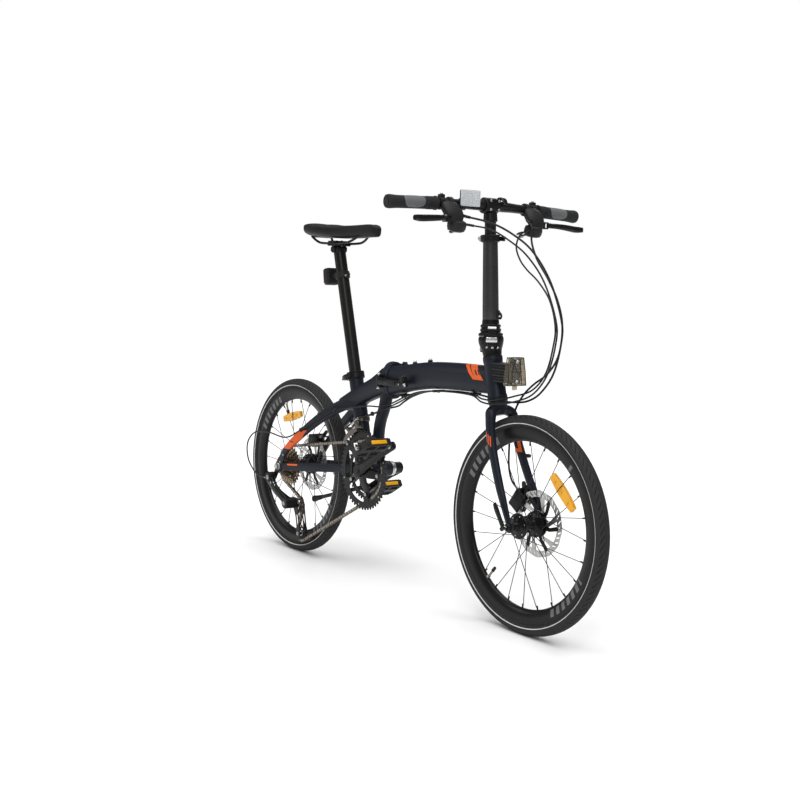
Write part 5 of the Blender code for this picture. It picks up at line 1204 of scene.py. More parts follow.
def make_stem():
    """Sliding stem, and the bar clamp with its lever."""
    stem = Piece("stem_post_body", "cockpit", "grey_anodised", ["stem_post"])
    stem.add(rod(0.169, STEM_RADIUS, chamfer=0.0006, steps=44), DARK_STEM,
        span(post_point(0.13), post_point(0.299)))
    stem.add(rod(0.022, 0.0172, 0.016, 0.0016, 44), BLACK, at(post_point(0.283), POST_DIRECTION))
    stem.add(collar(0.04, 0.0128, 0.0192, 0.0016), BLACK, at(BAR_CENTRE, Y_AXIS))
    stem.add(box((0.011, 0.038, 0.03), 0.003, 3), BLACK, turned(BAR_CENTRE + Vector((0.015, 0, 0.001))))
    for y in (-0.0125, 0.0125):
        for z in (-0.01, 0.011):
            stem.add(bolt(0.0031, 0.0028), SATIN_STEEL, at(BAR_CENTRE + Vector((0.0204, y, z)), X_AXIS))
    stem.add(skin(rows_from(BAR_CENTRE,
        (((-0.012, 0.03, 0.008), 0.007, 0.003), ((0.004, 0.031, 0.019), 0.008, 0.0028),
        ((0.018, 0.03, 0.016), 0.008, 0.0026), ((0.027, 0.028, 0.004), 0.006, 0.002))), oval(20, 3.0),
        0.004), BLACK_GLOSS)
    stem.add(rod(0.056, 0.0034, steps=18), SATIN_STEEL,
        at(BAR_CENTRE + Vector((-0.016, 0.005, 0.003)), Y_AXIS))
    stem.make()


def make_grips():
    """Soft sleeves with a flange, a grey oval panel on top, and fine rings near the flange."""
    for label, side in SIDES:
        start, direction = bar_point(0.158, side)
        piece = Piece(f"grip_{label}_sleeve", "cockpit", "grip_rubber", [f"grip_{label}"])
        outline = [(0.0116, 0.0), (0.0158, 0.0), (0.0165, 0.0008), (0.0165, 0.0038), (0.0152, 0.0052),
            (0.0148, 0.03), (0.0146, 0.065), (0.0147, 0.102), (0.015, 0.115), (0.0158, 0.124),
            (0.0162, 0.131), (0.0154, 0.1362), (0.011, 0.1368), (0.0, 0.1362), (0.0, 0.13), (0.0116, 0.13)]
        piece.add(revolve(outline, 48, closed=True), GRIP, at(start, direction))
        piece.add(skin([(start + direction * d, wide, wide)
            for d, wide in ((0.036, 0.011), (0.0385, 0.0129), (0.041, 0.0134), (0.046, 0.0139),
            (0.054, 0.0143), (0.067, 0.0144), (0.08, 0.0143), (0.088, 0.0139), (0.093, 0.0134),
            (0.0955, 0.0129), (0.098, 0.011))], oval(40), 0.003), GRIP_GREY, shift(0.0018, 0, 0.0007))
        for k in range(9):
            point = start + direction * (0.009 + 0.0022 * k)
            piece.add(collar(0.0011, 0.014, 0.0153, 0.0003, 40), GRIP, at(point, direction))
        piece.add(rod(0.0016, 0.0085, chamfer=0.0005), PLASTIC, at(start + direction * 0.1374, direction))
        piece.make()


def make_controls():
    for label, side in SIDES:
        make_control(label, side)
        make_brake_lever(label, side)


def make_control(label, side):
    """Bracket with clamp band, rounded cover, gear pod with thumb levers, and the lever's fork."""
    centre, direction = bar_point(0.13, side)
    piece = Piece(f"control_{label}_housing", "cockpit", "black_plastic", [f"control_{label}"])
    piece.add(collar(0.014, 0.0112, 0.0152, 0.0012), BLACK, at(centre + direction * 0.013, direction))
    piece.add(collar(0.011, 0.0112, 0.0156, 0.0012), PLASTIC, at(centre - direction * 0.011, direction))
    piece.add(box((0.015, 0.012, 0.011), 0.002, 2), BLACK,
        turned(centre + Vector((0, side * 0.013, 0.015))))
    piece.add(bolt(0.0034, 0.003), SATIN_STEEL, at(centre + Vector((0, side * 0.013, 0.0204)), Z_AXIS))
    piece.add(skin(mirrored_rows(side,
        (((0.324, 0.129, 0.9945), 0.02, 0.01), ((0.333, 0.129, 0.987), 0.025, 0.013),
        ((0.345, 0.1275, 0.9725), 0.026, 0.0125), ((0.354, 0.1265, 0.958), 0.0205, 0.0095),
        ((0.3575, 0.126, 0.952), 0.013, 0.0062))), oval(32, 2.6), 0.003), PLASTIC)
    pod = mirrored((0.3485, 0.12, 0.945), side)
    lean = Vector((0.22, 0, 1)).normalized()
    piece.add(revolve([(0, -0.014), (0.0135, -0.014), (0.0195, -0.011), (0.022, -0.005), (0.0224, 0.004),
        (0.0205, 0.0105), (0.015, 0.013), (0, 0.013)], 44), PLASTIC, at(pod, lean))
    piece.add(collar(0.0016, 0.017, 0.0229, 0.0004, 44), BLACK_GLOSS, at(pod + lean * 0.0008, lean))
    piece.add(bolt(0.0042, 0.002), SATIN_STEEL, at(pod - lean * 0.0137, -lean))
    for drop, reach in ((0.0, 0.03), (-0.007, 0.024)):
        thumb = pod + Vector((-0.01, side * -0.01, drop - 0.002))
        piece.add(skin([(thumb, 0.005, 0.0022),
            (thumb + Vector((-reach * 0.55, side * -0.004, -0.002)), 0.0058, 0.0022),
            (thumb + Vector((-reach, side * 0.001, -0.005)), 0.0075, 0.0026)], oval(18, 3.0), 0.004),
            BLACK_GLOSS)
    knuckle = mirrored((0.352, 0.146, 0.96), side)
    for z in (0.0068, -0.0068):
        piece.add(box((0.017, 0.02, 0.0034), 0.001, 2), BLACK,
            turned(knuckle + Vector((0, side * 0.004, z))))
    piece.add(box((0.015, 0.014, 0.015), 0.0022, 2), BLACK, turned(knuckle - Vector((0, side * 0.002, 0))))
    for x, z, r in ((0.352, 0.968, 0.004), (0.3615, 0.948, 0.0036)):
        start = mirrored((x, 0.112, z), side)
        end = mirrored((x + 0.003, 0.0985, z), side)
        piece.add(rod(0.014, r, r * 0.8, 0.0006, 14), BLACK_GLOSS, span(start, end))
        piece.add(collar(0.004, r * 0.6, r + 0.001, 0.0004, 10), BLACK,
            at(start.lerp(end, 0.4), end - start))
    piece.make()


def make_brake_lever(label, side):
    pivot = pivot_of(f"brake_lever_{label}_pull")
    lever = Piece(f"brake_lever_{label}_blade", f"{label}_lever", "black_alloy", [f"brake_lever_{label}"])
    lever.add(rod(0.01, 0.0068, chamfer=0.0008), BLACK, at(pivot))
    lever.add(bolt(0.0034, 0.0018), SATIN_STEEL, at(pivot + Z_AXIS * 0.0052))
    lever.add(skin(mirrored_rows(side,
        (((0.359, 0.16, 0.96), 0.0066, 0.006), ((0.37, 0.178, 0.9592), 0.0056, 0.0064),
        ((0.3745, 0.195, 0.958), 0.0048, 0.007), ((0.3725, 0.218, 0.9565), 0.0046, 0.0076),
        ((0.369, 0.238, 0.9552), 0.0048, 0.0078), ((0.3705, 0.252, 0.955), 0.0052, 0.0074),
        ((0.375, 0.262, 0.955), 0.0048, 0.006))), oval(24, 2.8), 0.004, side=X_AXIS), BLACK_GLOSS)
    lever.make()


def make_bar_reflector():
    """Clear front reflector in a black frame, clamped beside the stem."""
    piece = Piece("bar_reflector", "cockpit", "black_plastic")
    centre = Vector((0.348, -0.082, 1.011))
    piece.add(box((0.006, 0.052, 0.036), 0.0024, 3), PLASTIC, turned(centre - X_AXIS * 0.004, z_degrees=-4))
    piece.add(box((0.006, 0.055, 0.038), 0.0024, 3), CLEAR, turned(centre + X_AXIS * 0.001, z_degrees=-4))
    for k in range(12):
        rib = turned(centre, z_degrees=-4) @ shift(0.004, 0.0044 * (k - 5.5), 0)
        piece.add(rod(0.034, 0.0014, chamfer=0.0002, steps=8), CLEAR, rib)
    bar_centre = Vector((0.3188, -0.082, 0.998))
    piece.add(collar(0.013, 0.0113, 0.0142, 0.001), PLASTIC, at(bar_centre, Y_AXIS))
    piece.add(box((0.018, 0.012, 0.009), 0.0016, 2), PLASTIC,
        turned(bar_centre + Vector((0.018, 0, 0.006)), y_degrees=-20))
    piece.make()


# ---------------------------------------------------------------- seat

def make_seatpost():
    piece = Piece("seatpost_tube", "seat", "grey_anodised", ["seatpost"])
    top = seat_point(0.6195)
    piece.add(rod(0.55, SEATPOST_RADIUS, chamfer=0.0008, steps=56), SEATPOST_GREY,
        span(seat_point(0.0695), top))
    head = top + Vector((-0.002, 0, 0.001))
    piece.add(box((0.04, 0.034, 0.016), 0.005, 4), BLACK, turned(head - Z_AXIS * 0.002))
    piece.add(rod(0.044, 0.01, chamfer=0.0016), BLACK, at(head - Z_AXIS * 0.002, Y_AXIS))
    piece.add(box((0.036, 0.052, 0.005), 0.0016, 3), BLACK, turned(head + Z_AXIS * 0.019))
    piece.add(box((0.042, 0.052, 0.005), 0.0016, 3), BLACK, turned(head + Z_AXIS * 0.0095))
    for x in (-0.0135, 0.0135):
        piece.add(rod(0.034, 0.0026, chamfer=0.0004, steps=16), SATIN_STEEL,
            at(head + Vector((x, 0, 0.006)), Z_AXIS))
        piece.add(bolt(0.0046, 0.0036), SATIN_STEEL, at(head + Vector((x, 0, -0.011)), -Z_AXIS))
    piece.make()


def make_seat_clamp():
    """Ring at the top of the seat tube."""
    clamp = Piece("seat_clamp_ring", "rear_half", "black_alloy", ["seat_clamp"])
    centre = seat_point(SEAT_TUBE_LENGTH - 0.008)
    clamp.add(collar(0.016, 0.0212, 0.0248, 0.0014), BLACK, at(centre, SEAT_DIRECTION))
    clamp.add(collar(0.003, 0.0175, 0.0252, 0.0008), BLACK,
        at(centre + SEAT_DIRECTION * 0.0094, SEAT_DIRECTION))
    ear = centre + Vector((-0.029, 0, -0.008))
    clamp.add(box((0.013, 0.018, 0.014), 0.0022, 2), BLACK, turned(ear, y_degrees=-16))
    clamp.add(rod(0.034, 0.0026, steps=16), STEEL, at(ear, Y_AXIS))
    clamp.add(rod(0.006, 0.0062, 0.0054, 0.0008, 24), STEEL, at(ear + Y_AXIS * 0.013, Y_AXIS))
    clamp.make()


def make_clamp_lever():
    """Lever of the seat clamp."""
    pivot = pivot_of("seat_clamp_open")
    lever = Piece("seat_clamp_lever_arm", "clamp_lever", "black_alloy", ["seat_clamp_lever"])
    lever.add(rod(0.013, 0.006, chamfer=0.0008, steps=28), BLACK_GLOSS, at(pivot, SEAT_DIRECTION))
    lever.add(skin(rows_from(pivot, (((0, 0, 0), 0.006, 0.0036), ((0.008, -0.012, 0), 0.0062, 0.003),
        ((0.03, -0.02, 0.006), 0.0068, 0.0028), ((0.052, -0.017, 0.014), 0.0048, 0.002))), oval(20, 3.0),
        0.004, side=Z_AXIS), BLACK_GLOSS)
    lever.add(bolt(0.0032, 0.0016), STEEL, at(pivot + SEAT_DIRECTION * 0.0062, SEAT_DIRECTION))
    lever.make()


def saddle_rows():
    """Stations along the saddle: x, half width, middle height, top rise and skirt depth."""
    return [(-0.4365, 0.03, 0.956, 0.006, 0.009), (-0.429, 0.048, 0.9565, 0.0085, 0.012),
        (-0.415, 0.061, 0.9565, 0.01, 0.015), (-0.39, 0.069, 0.9555, 0.0108, 0.016),
        (-0.36, 0.067, 0.9535, 0.0105, 0.015), (-0.325, 0.0545, 0.951, 0.01, 0.0135),
        (-0.29, 0.04, 0.949, 0.01, 0.0125), (-0.25, 0.0285, 0.9485, 0.0105, 0.0125),
        (-0.21, 0.0222, 0.949, 0.011, 0.0125), (-0.175, 0.019, 0.95, 0.011, 0.012),
        (-0.15, 0.0165, 0.95, 0.01, 0.0115), (-0.136, 0.0125, 0.9485, 0.0075, 0.0095),
        (-0.129, 0.006, 0.9465, 0.004, 0.006)]


def make_saddle():
    """Padded cover: crowned, dished along its middle, with rolled edges and two seams."""
    rows = spread(saddle_rows(), 0.004)
    loops = []
    seams = {1: [], -1: []}
    for x, wide, z, rise, skirt in rows:
        rise, skirt = rise + SADDLE_RISE, skirt + SADDLE_DROP
        loop = []
        for k in range(48):
            angle = 2 * math.pi * (k + 0.5) / 48
            c, s = math.cos(angle), math.sin(angle)
            u = math.copysign(abs(c) ** 0.72, c)
            high = rise * abs(s) ** 0.62 if s > 0 else -skirt * abs(s) ** 0.55
            dish = 0.0032 * math.exp(-(u / 0.24) ** 2) if s > 0 else 0.0
            tuck = 1.0 if s > 0 else 1.0 - 0.2 * abs(s) ** 1.5
            loop.append(Vector((x, wide * u * tuck, z + high - dish)))
        loops.append(loop)
        for side in (1, -1):
            seams[side].append(Vector((x, side * wide * 0.8, z + rise * 0.62 + 0.0002)))
    cover = Piece("saddle_cover", "seat", "saddle_cover", ["saddle"])
    cover.add(join_loops(loops), COVER)
    saddle = cover.make(70)
    trim = Piece("saddle_trim", "seat", "saddle_cover")
    for side in (1, -1):
        trim.add(wire([p for i, p in enumerate(seams[side]) if i % 3 == 0][1:-1], 0.0007, 6, 0.006), THREAD)
    under = [((x, 0, z - skirt * 0.72), max(0.004, wide * 0.8), skirt * 0.3)
        for x, wide, z, rise, skirt in rows[4:-3:5]]
    trim.add(skin(under, oval(28, 3.0), 0.008), PLASTIC)
    for x, z, wide in ((-0.408, 0.935, 0.052), (-0.2, 0.936, 0.02)):
        trim.add(box((0.018, wide, 0.01), 0.0024, 2), PLASTIC, turned((x, 0, z)))
    trim.make()


def make_rails():
    rails = Piece("saddle_rail_wires", "seat", "black_alloy", ["saddle_rails"])
    half = [(-0.413, 0.033, 0.933), (-0.392, 0.027, 0.919), (-0.364, 0.0225, 0.9135),
        (-0.265, 0.0225, 0.9135), (-0.23, 0.0215, 0.919), (-0.2, 0.015, 0.933), (-0.193, 0.005, 0.9352)]
    rails.add(wire(half + [(x, -y, z) for x, y, z in reversed(half)], 0.0035, 14, 0.005), BLACK_GLOSS)
    rails.make()


def make_tail_light():
    piece = Piece("tail_light_housing", "seat", "black_plastic", ["tail_light"])
    centre = Vector((-0.357, 0, 0.82))
    piece.add(box((0.026, 0.042, 0.048), 0.007, 4), PLASTIC, turned(centre + X_AXIS * 0.0015, y_degrees=-8))
    piece.add(box((0.008, 0.035, 0.04), 0.0034, 3), RED, turned(centre - X_AXIS * 0.0125, y_degrees=-8))
    piece.add(box((0.038, 0.014, 0.015), 0.0026, 2), PLASTIC, turned((-0.332, 0, 0.822)))
    band = seat_point(0.543)
    piece.add(collar(0.018, 0.0171, 0.0202, 0.001), PLASTIC, at(band, SEAT_DIRECTION))
    piece.add(box((0.014, 0.01, 0.014), 0.002, 2), PLASTIC, turned(band + Vector((0.024, 0, 0))))
    piece.add(bolt(0.003, 0.003), SATIN_STEEL, at(band + Vector((0.025, -0.005, 0)), -Y_AXIS))
    piece.make()


# ---------------------------------------------------------------- drive

def pitch_radius(teeth):
    return CHAIN_PITCH / (2 * math.sin(math.pi / teeth))


def copies(shape, matrices):
    """The same shape once for each matrix, in one mesh."""
    mesh = bpy.data.meshes.new("shape")
    shape.to_mesh(mesh)
    shape.free()
    bm = bmesh.new()
    for matrix in matrices:
        mesh.transform(matrix)
        bm.from_mesh(mesh)
        mesh.transform(matrix.inverted())
    bpy.data.meshes.remove(mesh)
    return bm


def ring_shape(teeth, inner, tabs):
    """Chainring with bolt tabs on its inner edge."""
    pitch = pitch_radius(teeth)
    edge = []
    for k in range(120):
        near = min(abs((3 * k - 72 * t + 180 + CRANK_TURN) % 360 - 180) for t in range(5))
        edge.append(polar_point(inner - tabs * max(0.0, 1 - (near / 9.0) ** 2), 3 * k))
    return [toothed(teeth, pitch + 0.003, pitch - 0.0034), edge]


def make_rings():
    for name, teeth, y, thick, inner in (("large", LARGE_RING_TEETH, LARGE_RING_Y, 0.0028, 0.086),
            ("small", SMALL_RING_TEETH, FRONT_CHAIN_Y, 0.0026, 0.064)):
        piece = Piece(f"chainring_{name}_plate", "cranks", "black_alloy", [f"chainring_{name}"], CRANK_AXIS)
        piece.add(plate(ring_shape(teeth, inner, inner - 0.059), thick, 0.0003), BLACK,
            upright(CRANK_AXIS + Y_AXIS * y))
        if name == "large":
            for k in range(5):
                x, z = polar_point(BOLT_CIRCLE, 72 * k - CRANK_TURN)
                for side, depth in ((-1, 0.0018), (1, 0.009)):
                    piece.add(bolt(0.005, 0.0024), SATIN_STEEL,
                        at(CRANK_AXIS + Vector((x, y + side * depth, z)), side * Y_AXIS))
            for k in range(6):
                x, z = polar_point(0.096, 60 * k + 20)
                piece.add(rod(0.004, 0.0022, chamfer=0.0004, steps=12), SATIN_STEEL,
                    at(CRANK_AXIS + Vector((x, y, z)), Y_AXIS))
        piece.make()


def make_cranks():
    for label, side in SIDES:
        make_crank(label, side)


def make_crank(label, side):
    """Arm with its boss and pedal axle, and on the right the spider, on the left the crank axle."""
    pedal = pivot_of(f"pedal_{label}_spin")
    reach = Vector((pedal.x - CRANK_AXIS.x, 0, pedal.z - CRANK_AXIS.z))
    length = reach.length
    run = reach.normalized()
    inner, outer = (0.062, 0.0745) if side > 0 else (-0.06, -0.0725)
    middle = (inner + outer) / 2
    half = abs(outer - inner) / 2
    piece = Piece(f"crank_{label}_arm", "cranks", "black_alloy", [f"crank_{label}"], CRANK_AXIS)
    rows = [(0.0, 0.0165, half), (0.02, 0.0155, half), (0.045, 0.0128, half * 0.95),
        (0.11, 0.0108, half * 0.9), (length - 0.02, 0.0108, half), (length, 0.0118, half),
        (length + 0.009, 0.0098, half)]
    piece.add(skin([(CRANK_AXIS + run * d + Y_AXIS * middle, deep, high) for d, high, deep in rows],
        oval(32, 3.0)), BLACK_GLOSS)
    groove = [CRANK_AXIS + run * d + Y_AXIS * (outer + side * 0.0001) for d in (0.04, 0.08, length - 0.034)]
    piece.add(skin([(p, 0.0006, w) for p, w in zip(groove, (0.0062, 0.0052, 0.0048))], oval(16, 3.0)),
        PLASTIC)
    boss = CRANK_AXIS + Y_AXIS * side * (0.056 if side > 0 else 0.064)
    piece.add(rod(0.036 if side > 0 else 0.017, 0.017, 0.016, 0.002, 40), BLACK_GLOSS,
        at(boss, side * Y_AXIS))
    piece.add(rod(0.005, 0.011, 0.01, 0.0012, 32), PLASTIC,
        at(CRANK_AXIS + Y_AXIS * (outer + side * 0.001), side * Y_AXIS))
    piece.add(rod(0.015, 0.0098, chamfer=0.001, steps=32), BLACK,
        at((pedal.x, middle, pedal.z), side * Y_AXIS))
    far = side * 0.179
    piece.add(rod(abs(far - inner), 0.0045, steps=20), SATIN_STEEL,
        at(Vector((pedal.x, (far + inner) / 2, pedal.z)), Y_AXIS))
    piece.add(rod(0.006, 0.0072, chamfer=0.0008, steps=6), SATIN_STEEL,
        at(Vector((pedal.x, outer + side * 0.0035, pedal.z)), Y_AXIS))
    if side < 0:
        piece.add(rod(0.0345, 0.0175, 0.0165, 0.0015, 40), BLACK, at(CRANK_AXIS - Y_AXIS * 0.0552, Y_AXIS))
        for k in range(5):
            way = direction_at(72 * k - CRANK_TURN)
            rows = [(0.012, 0.016, 0.0046, -0.056), (0.032, 0.015, 0.0036, -0.0535),
                (0.052, 0.013, 0.0028, -0.0462), (BOLT_CIRCLE, 0.012, 0.0022, -0.0458),
                (0.0735, 0.0085, 0.0018, -0.0458)]
            piece.add(skin([(CRANK_AXIS + way * d + Y_AXIS * y, deep, wide) for d, wide, deep, y in rows],
                oval(20, 3.0)), BLACK_GLOSS)
    else:
        piece.add(rod(0.1, 0.0094, steps=28), SATIN_STEEL, at(CRANK_AXIS, Y_AXIS))
        piece.add(collar(0.0085, 0.0098, 0.02, 0.0012, 44), STEEL, at(CRANK_AXIS + Y_AXIS * 0.0425, Y_AXIS))
    piece.make()


def make_pedals():
    """Platform pedals, front edge up: ribbed cage round four windows, amber reflectors front and rear."""
    for label, side in SIDES:
        centre = pivot_of(f"pedal_{label}_spin")
        piece = Piece(f"pedal_{label}_platform", f"{label}_pedal", "black_plastic", [f"pedal_{label}"],
            centre)
        tilt = turned(centre, y_degrees=-30)
        outline = [(0.038 * u, 0.04 * v) for u, v in oval(56, 6.0)]
        windows = []
        for sx in (1, -1):
            for sy in (1, -1):
                windows.append([(sx * 0.0205 + 0.0098 * u, sy * 0.0172 + 0.0135 * v)
                    for u, v in oval(28, 6.0)])
        for z in (0.0072, -0.0072):
            piece.add(plate([outline] + windows, 0.0056, 0.0012), PLASTIC, tilt @ shift(z=z))
        for x in (0.0335, -0.0335):
            piece.add(box((0.0066, 0.076, 0.019), 0.002, 2), PLASTIC, tilt @ shift(x=x))
        for y in (0.0358, -0.0358, 0.0):
            piece.add(box((0.068, 0.0064, 0.019), 0.0016, 2), PLASTIC, tilt @ shift(y=y))
        piece.add(rod(0.076, 0.0096, chamfer=0.0012, steps=28), PLASTIC, at(centre, Y_AXIS))
        piece.add(rod(0.005, 0.0075, 0.0068, 0.0008, 24), PLASTIC,
            at(centre + Y_AXIS * side * 0.039, side * Y_AXIS))
        for k in range(7):
            for x in (0.034, -0.034, 0.0108, -0.0108):
                for z in (0.0098, -0.0098):
                    tooth = rod(0.0024, 0.0026, steps=8)
                    piece.add(tooth, PLASTIC, tilt @ shift(x, 0.0102 * (k - 3), z))
        for x in (0.0366, -0.0366):
            piece.add(box((0.0026, 0.047, 0.0105), 0.001, 2), AMBER, tilt @ shift(x=x))
        piece.make()


def make_cassette():
    piece = Piece("cassette_cogs", "sprockets", "chain_metal", ["cassette"], REAR_AXLE)
    for k, teeth in enumerate(COG_TEETH):
        pitch = pitch_radius(teeth)
        loops = [toothed(teeth, pitch + 0.0028, pitch - 0.0036), circle(0.0172, 40)]
        if teeth > 20:
            for n in range(6):
                loops.append(sector(0.0215, pitch - 0.009, 60 * n, 60 * n + 34, lean=8))
        y = REAR_CHAIN_Y - COG_SPACING * k
        piece.add(plate(loops, 0.0019, 0.0002), BRONZE, upright(REAR_AXLE + Y_AXIS * y, 0.2 * k))
        if k < len(COG_TEETH) - 1:
            piece.add(collar(0.0023, 0.017, 0.0186, 0.0003, 40), SATIN_STEEL,
                at(REAR_AXLE + Y_AXIS * (y - COG_SPACING / 2), Y_AXIS))
    lock = REAR_AXLE + Y_AXIS * -0.064
    piece.add(revolve([(0.0105, -0.001), (0.019, -0.001), (0.019, 0.0004), (0.015, 0.0014),
        (0.0105, 0.0014)], 40, closed=True), SATIN_STEEL, at(lock, -Y_AXIS))
    piece.make()


def chain_points():
    """Joints of the links, one pitch apart, round the ring, the cog and the two pulleys."""
    wheels = [(CRANK_AXIS, pitch_radius(SMALL_RING_TEETH), 1, FRONT_CHAIN_Y),
        (REAR_AXLE, pitch_radius(COG_TEETH[0]), 1, REAR_CHAIN_Y),
        (UPPER_PULLEY, pitch_radius(PULLEY_TEETH), -1, REAR_CHAIN_Y),
        (LOWER_PULLEY, pitch_radius(PULLEY_TEETH), 1, REAR_CHAIN_Y)]
    leaving, arriving = [], []
    for (c1, r1, s1, _), (c2, r2, s2, _) in zip(wheels, wheels[1:] + wheels[:1]):
        gap = Vector((c2.x - c1.x, c2.z - c1.z))
        along = gap.normalized()
        sine = (s1 * r1 - s2 * r2) / gap.length
        normal = along * sine - Vector((-along.y, along.x)) * math.sqrt(1 - sine * sine)
        leaving.append(math.atan2(normal.y * s1, normal.x * s1))
        arriving.append(math.atan2(normal.y * s2, normal.x * s2))
    fine, marks = [], []
    for i, (centre, radius, sense, y) in enumerate(wheels):
        start = arriving[i - 1]
        sweep = (leaving[i] - start) * sense % (2 * math.pi) * sense
        for k in range(61):
            angle = start + sweep * k / 60
            fine.append(Vector((centre.x + radius * math.cos(angle), y,
                centre.z + radius * math.sin(angle))))
        marks.append(len(fine) - 1)
    fine.append(fine[0].copy())
    total = sum((b - a).length for a, b in zip(fine, fine[1:]))
    count = 2 * round(total / CHAIN_PITCH / 2)
    step = total / count
    points, groups, walked, due = [], [], 0.0, 0.0
    for i, (a, b) in enumerate(zip(fine, fine[1:])):
        length = (b - a).length
        while due < walked + length and len(points) < count:
            points.append(a.lerp(b, (due - walked) / length))
            groups.append(0 if i < marks[1] else (1 if i < marks[3] else 2))
            due += step
        walked += length
    return points, groups


def make_chain():
    points, groups = chain_points()
    outline = [(math.copysign(CHAIN_PITCH / 2, u) + 0.0041 * u, 0.0041 * v) for u, v in oval(24)]
    for group, name, start, end in ((0, "chain_upper", None, None),
            (1, "chain_rear", (0, 0, 0.192), (0, 0, 0.158)),
            (2, "chain_lower", (-0.4, 0, 0), (-0.15, 0, 0))):
        piece = Piece(name, "rear_half", "chain_metal", ["chain"] if group == 0 else ())
        frames = {0: [], 1: []}
        pins = []
        for i, point in enumerate(points):
            if groups[i] != group:
                continue
            ahead = points[(i + 1) % len(points)]
            along = (ahead - point).normalized()
            across = (Y_AXIS - along * along.y).normalized()
            turn = Matrix((along, along.cross(across), across)).transposed().to_4x4()
            frames[i % 2].append(Matrix.Translation((point + ahead) / 2) @ turn)
            pins.append(Matrix.Translation(point) @ turn)
        for kind, gap in ((0, 0.0031), (1, 0.002)):
            for side in (1, -1):
                link = plate([outline], 0.001, 0.0002)
                bmesh.ops.translate(link, vec=(0, 0, side * gap), verts=link.verts[:])
                piece.add(copies(link, frames[kind]), CHAIN)
        piece.add(copies(rod(0.0036, 0.0036, chamfer=0.0003, steps=12), pins), CHAIN)
        piece.add(copies(rod(0.0078, 0.0017, chamfer=0.0002, steps=8), pins), SATIN_STEEL)
        if group == 0:
            piece.make()
        else:
            obj = piece.make(ride=False)
            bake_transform(obj)


def make_rear_derailleur():
    piece = Piece("rear_derailleur_body", "rear_half", "black_alloy", ["rear_derailleur"])
    piece.add(rod(0.022, 0.016, 0.015, 0.0024, 36), BLACK, at((-0.523, -0.086, 0.2225), -Y_AXIS))
    piece.add(bolt(0.0065, 0.003), SATIN_STEEL, at((-0.523, -0.0948, 0.2225), -Y_AXIS))
    for lift, drop in ((0.0, 0.0), (0.0075, -0.0125)):
        rows = [((-0.52, -0.088 + lift, 0.218 + drop), 0.008, 0.014),
            ((-0.498, -0.0855 + lift, 0.1965 + drop), 0.0066, 0.0125),
            ((-0.472, -0.0795 + lift, 0.1765 + drop * 0.4), 0.0066, 0.012),
            ((-0.448, -0.0738 + lift, 0.16), 0.0078, 0.013)]
        piece.add(skin(rows, oval(24, 3.0), 0.004), BLACK_GLOSS if lift == 0 else BLACK)
    for x, y, z in ((-0.508, -0.096, 0.208), (-0.462, -0.0835, 0.169)):
        piece.add(bolt(0.0036, 0.003), SATIN_STEEL, at((x, y + 0.004, z), -Y_AXIS))
    piece.add(rod(0.036, 0.0165, 0.0158, 0.0024, 36), BLACK,
        at((CAGE_PIVOT.x, -0.066, CAGE_PIVOT.z), -Y_AXIS))
    piece.add(bolt(0.006, 0.0026), SATIN_STEEL, at((CAGE_PIVOT.x, -0.0836, CAGE_PIVOT.z), -Y_AXIS))
    piece.add(box((0.016, 0.012, 0.01), 0.0024, 2), BLACK, turned((-0.533, -0.089, 0.222), y_degrees=20))
    piece.add(rod(0.012, 0.004, 0.0034, 0.0006, 14), BLACK_GLOSS, at((-0.543, -0.0892, 0.22), -X_AXIS))
    for x, z in ((-0.496, 0.2095), (-0.489, 0.2035)):
        piece.add(bolt(0.002, 0.004), STEEL, at((x, -0.09, z), (0.5, -0.6, 0.6)))
    piece.make()


def make_cage():
    """Two slotted plates that carry the pulleys."""
    cage = Piece("derailleur_cage_plates", "cage", "black_alloy", ["derailleur_cage"])
    up = Vector((UPPER_PULLEY.x, UPPER_PULLEY.z))
    down = Vector((LOWER_PULLEY.x, LOWER_PULLEY.z))
    way = (down - up).normalized()
    bow = Vector((-way.y, way.x))
    line = [up - way * 0.016, up, up.lerp(down, 0.35) + bow * 0.003, up.lerp(down, 0.7) + bow * 0.003, down,
        down + way * 0.011]
    halves = [0.009, 0.0125, 0.0088, 0.0082, 0.0105, 0.0075]
    smooth = spread([(p.x, 0, p.y, h) for p, h in zip(line, halves)], 0.004)
    outline = strip([(p[0], p[2]) for p in smooth], [p[3] for p in smooth])
    slot = strip([tuple(up.lerp(down, t) + bow * 0.003) for t in (0.36, 0.5, 0.66)],
        [0.0034, 0.0036, 0.0034])
    for y in (-0.0455, -0.0225):
        cage.add(plate([outline, slot], 0.0022, 0.0004), BLACK, upright((0, y, 0)))
    for centre in (up, down):
        cage.add(rod(0.028, 0.004, steps=20), BLACK, at((centre.x, -0.034, centre.y), Y_AXIS))
        cage.add(bolt(0.0052, 0.0028), SATIN_STEEL, at((centre.x, -0.0466, centre.y), -Y_AXIS))
    cage.make()


def make_pulleys():
    """Guide wheel and tension wheel."""
    for name, centre, body in (("upper", UPPER_PULLEY, "guide_wheel"),
            ("lower", LOWER_PULLEY, "tension_wheel")):
        wheel = Piece(f"{name}_pulley_wheel", body, "black_plastic", [f"{name}_pulley"], centre)
        pitch = pitch_radius(PULLEY_TEETH)
        loops = [toothed(PULLEY_TEETH, pitch + 0.002, pitch - 0.0042, 0.34), circle(0.0046, 24)]
        for k in range(5):
            loops.append(sector(0.0088, 0.0142, 72 * k, 72 * k + 44, steps=5))
        wheel.add(plate(loops, 0.0024, 0.0003), PLASTIC, upright(centre))
        wheel.add(collar(0.0086, 0.0045, 0.008, 0.0008, 28), SATIN_STEEL, at(centre, Y_AXIS))
        wheel.make()


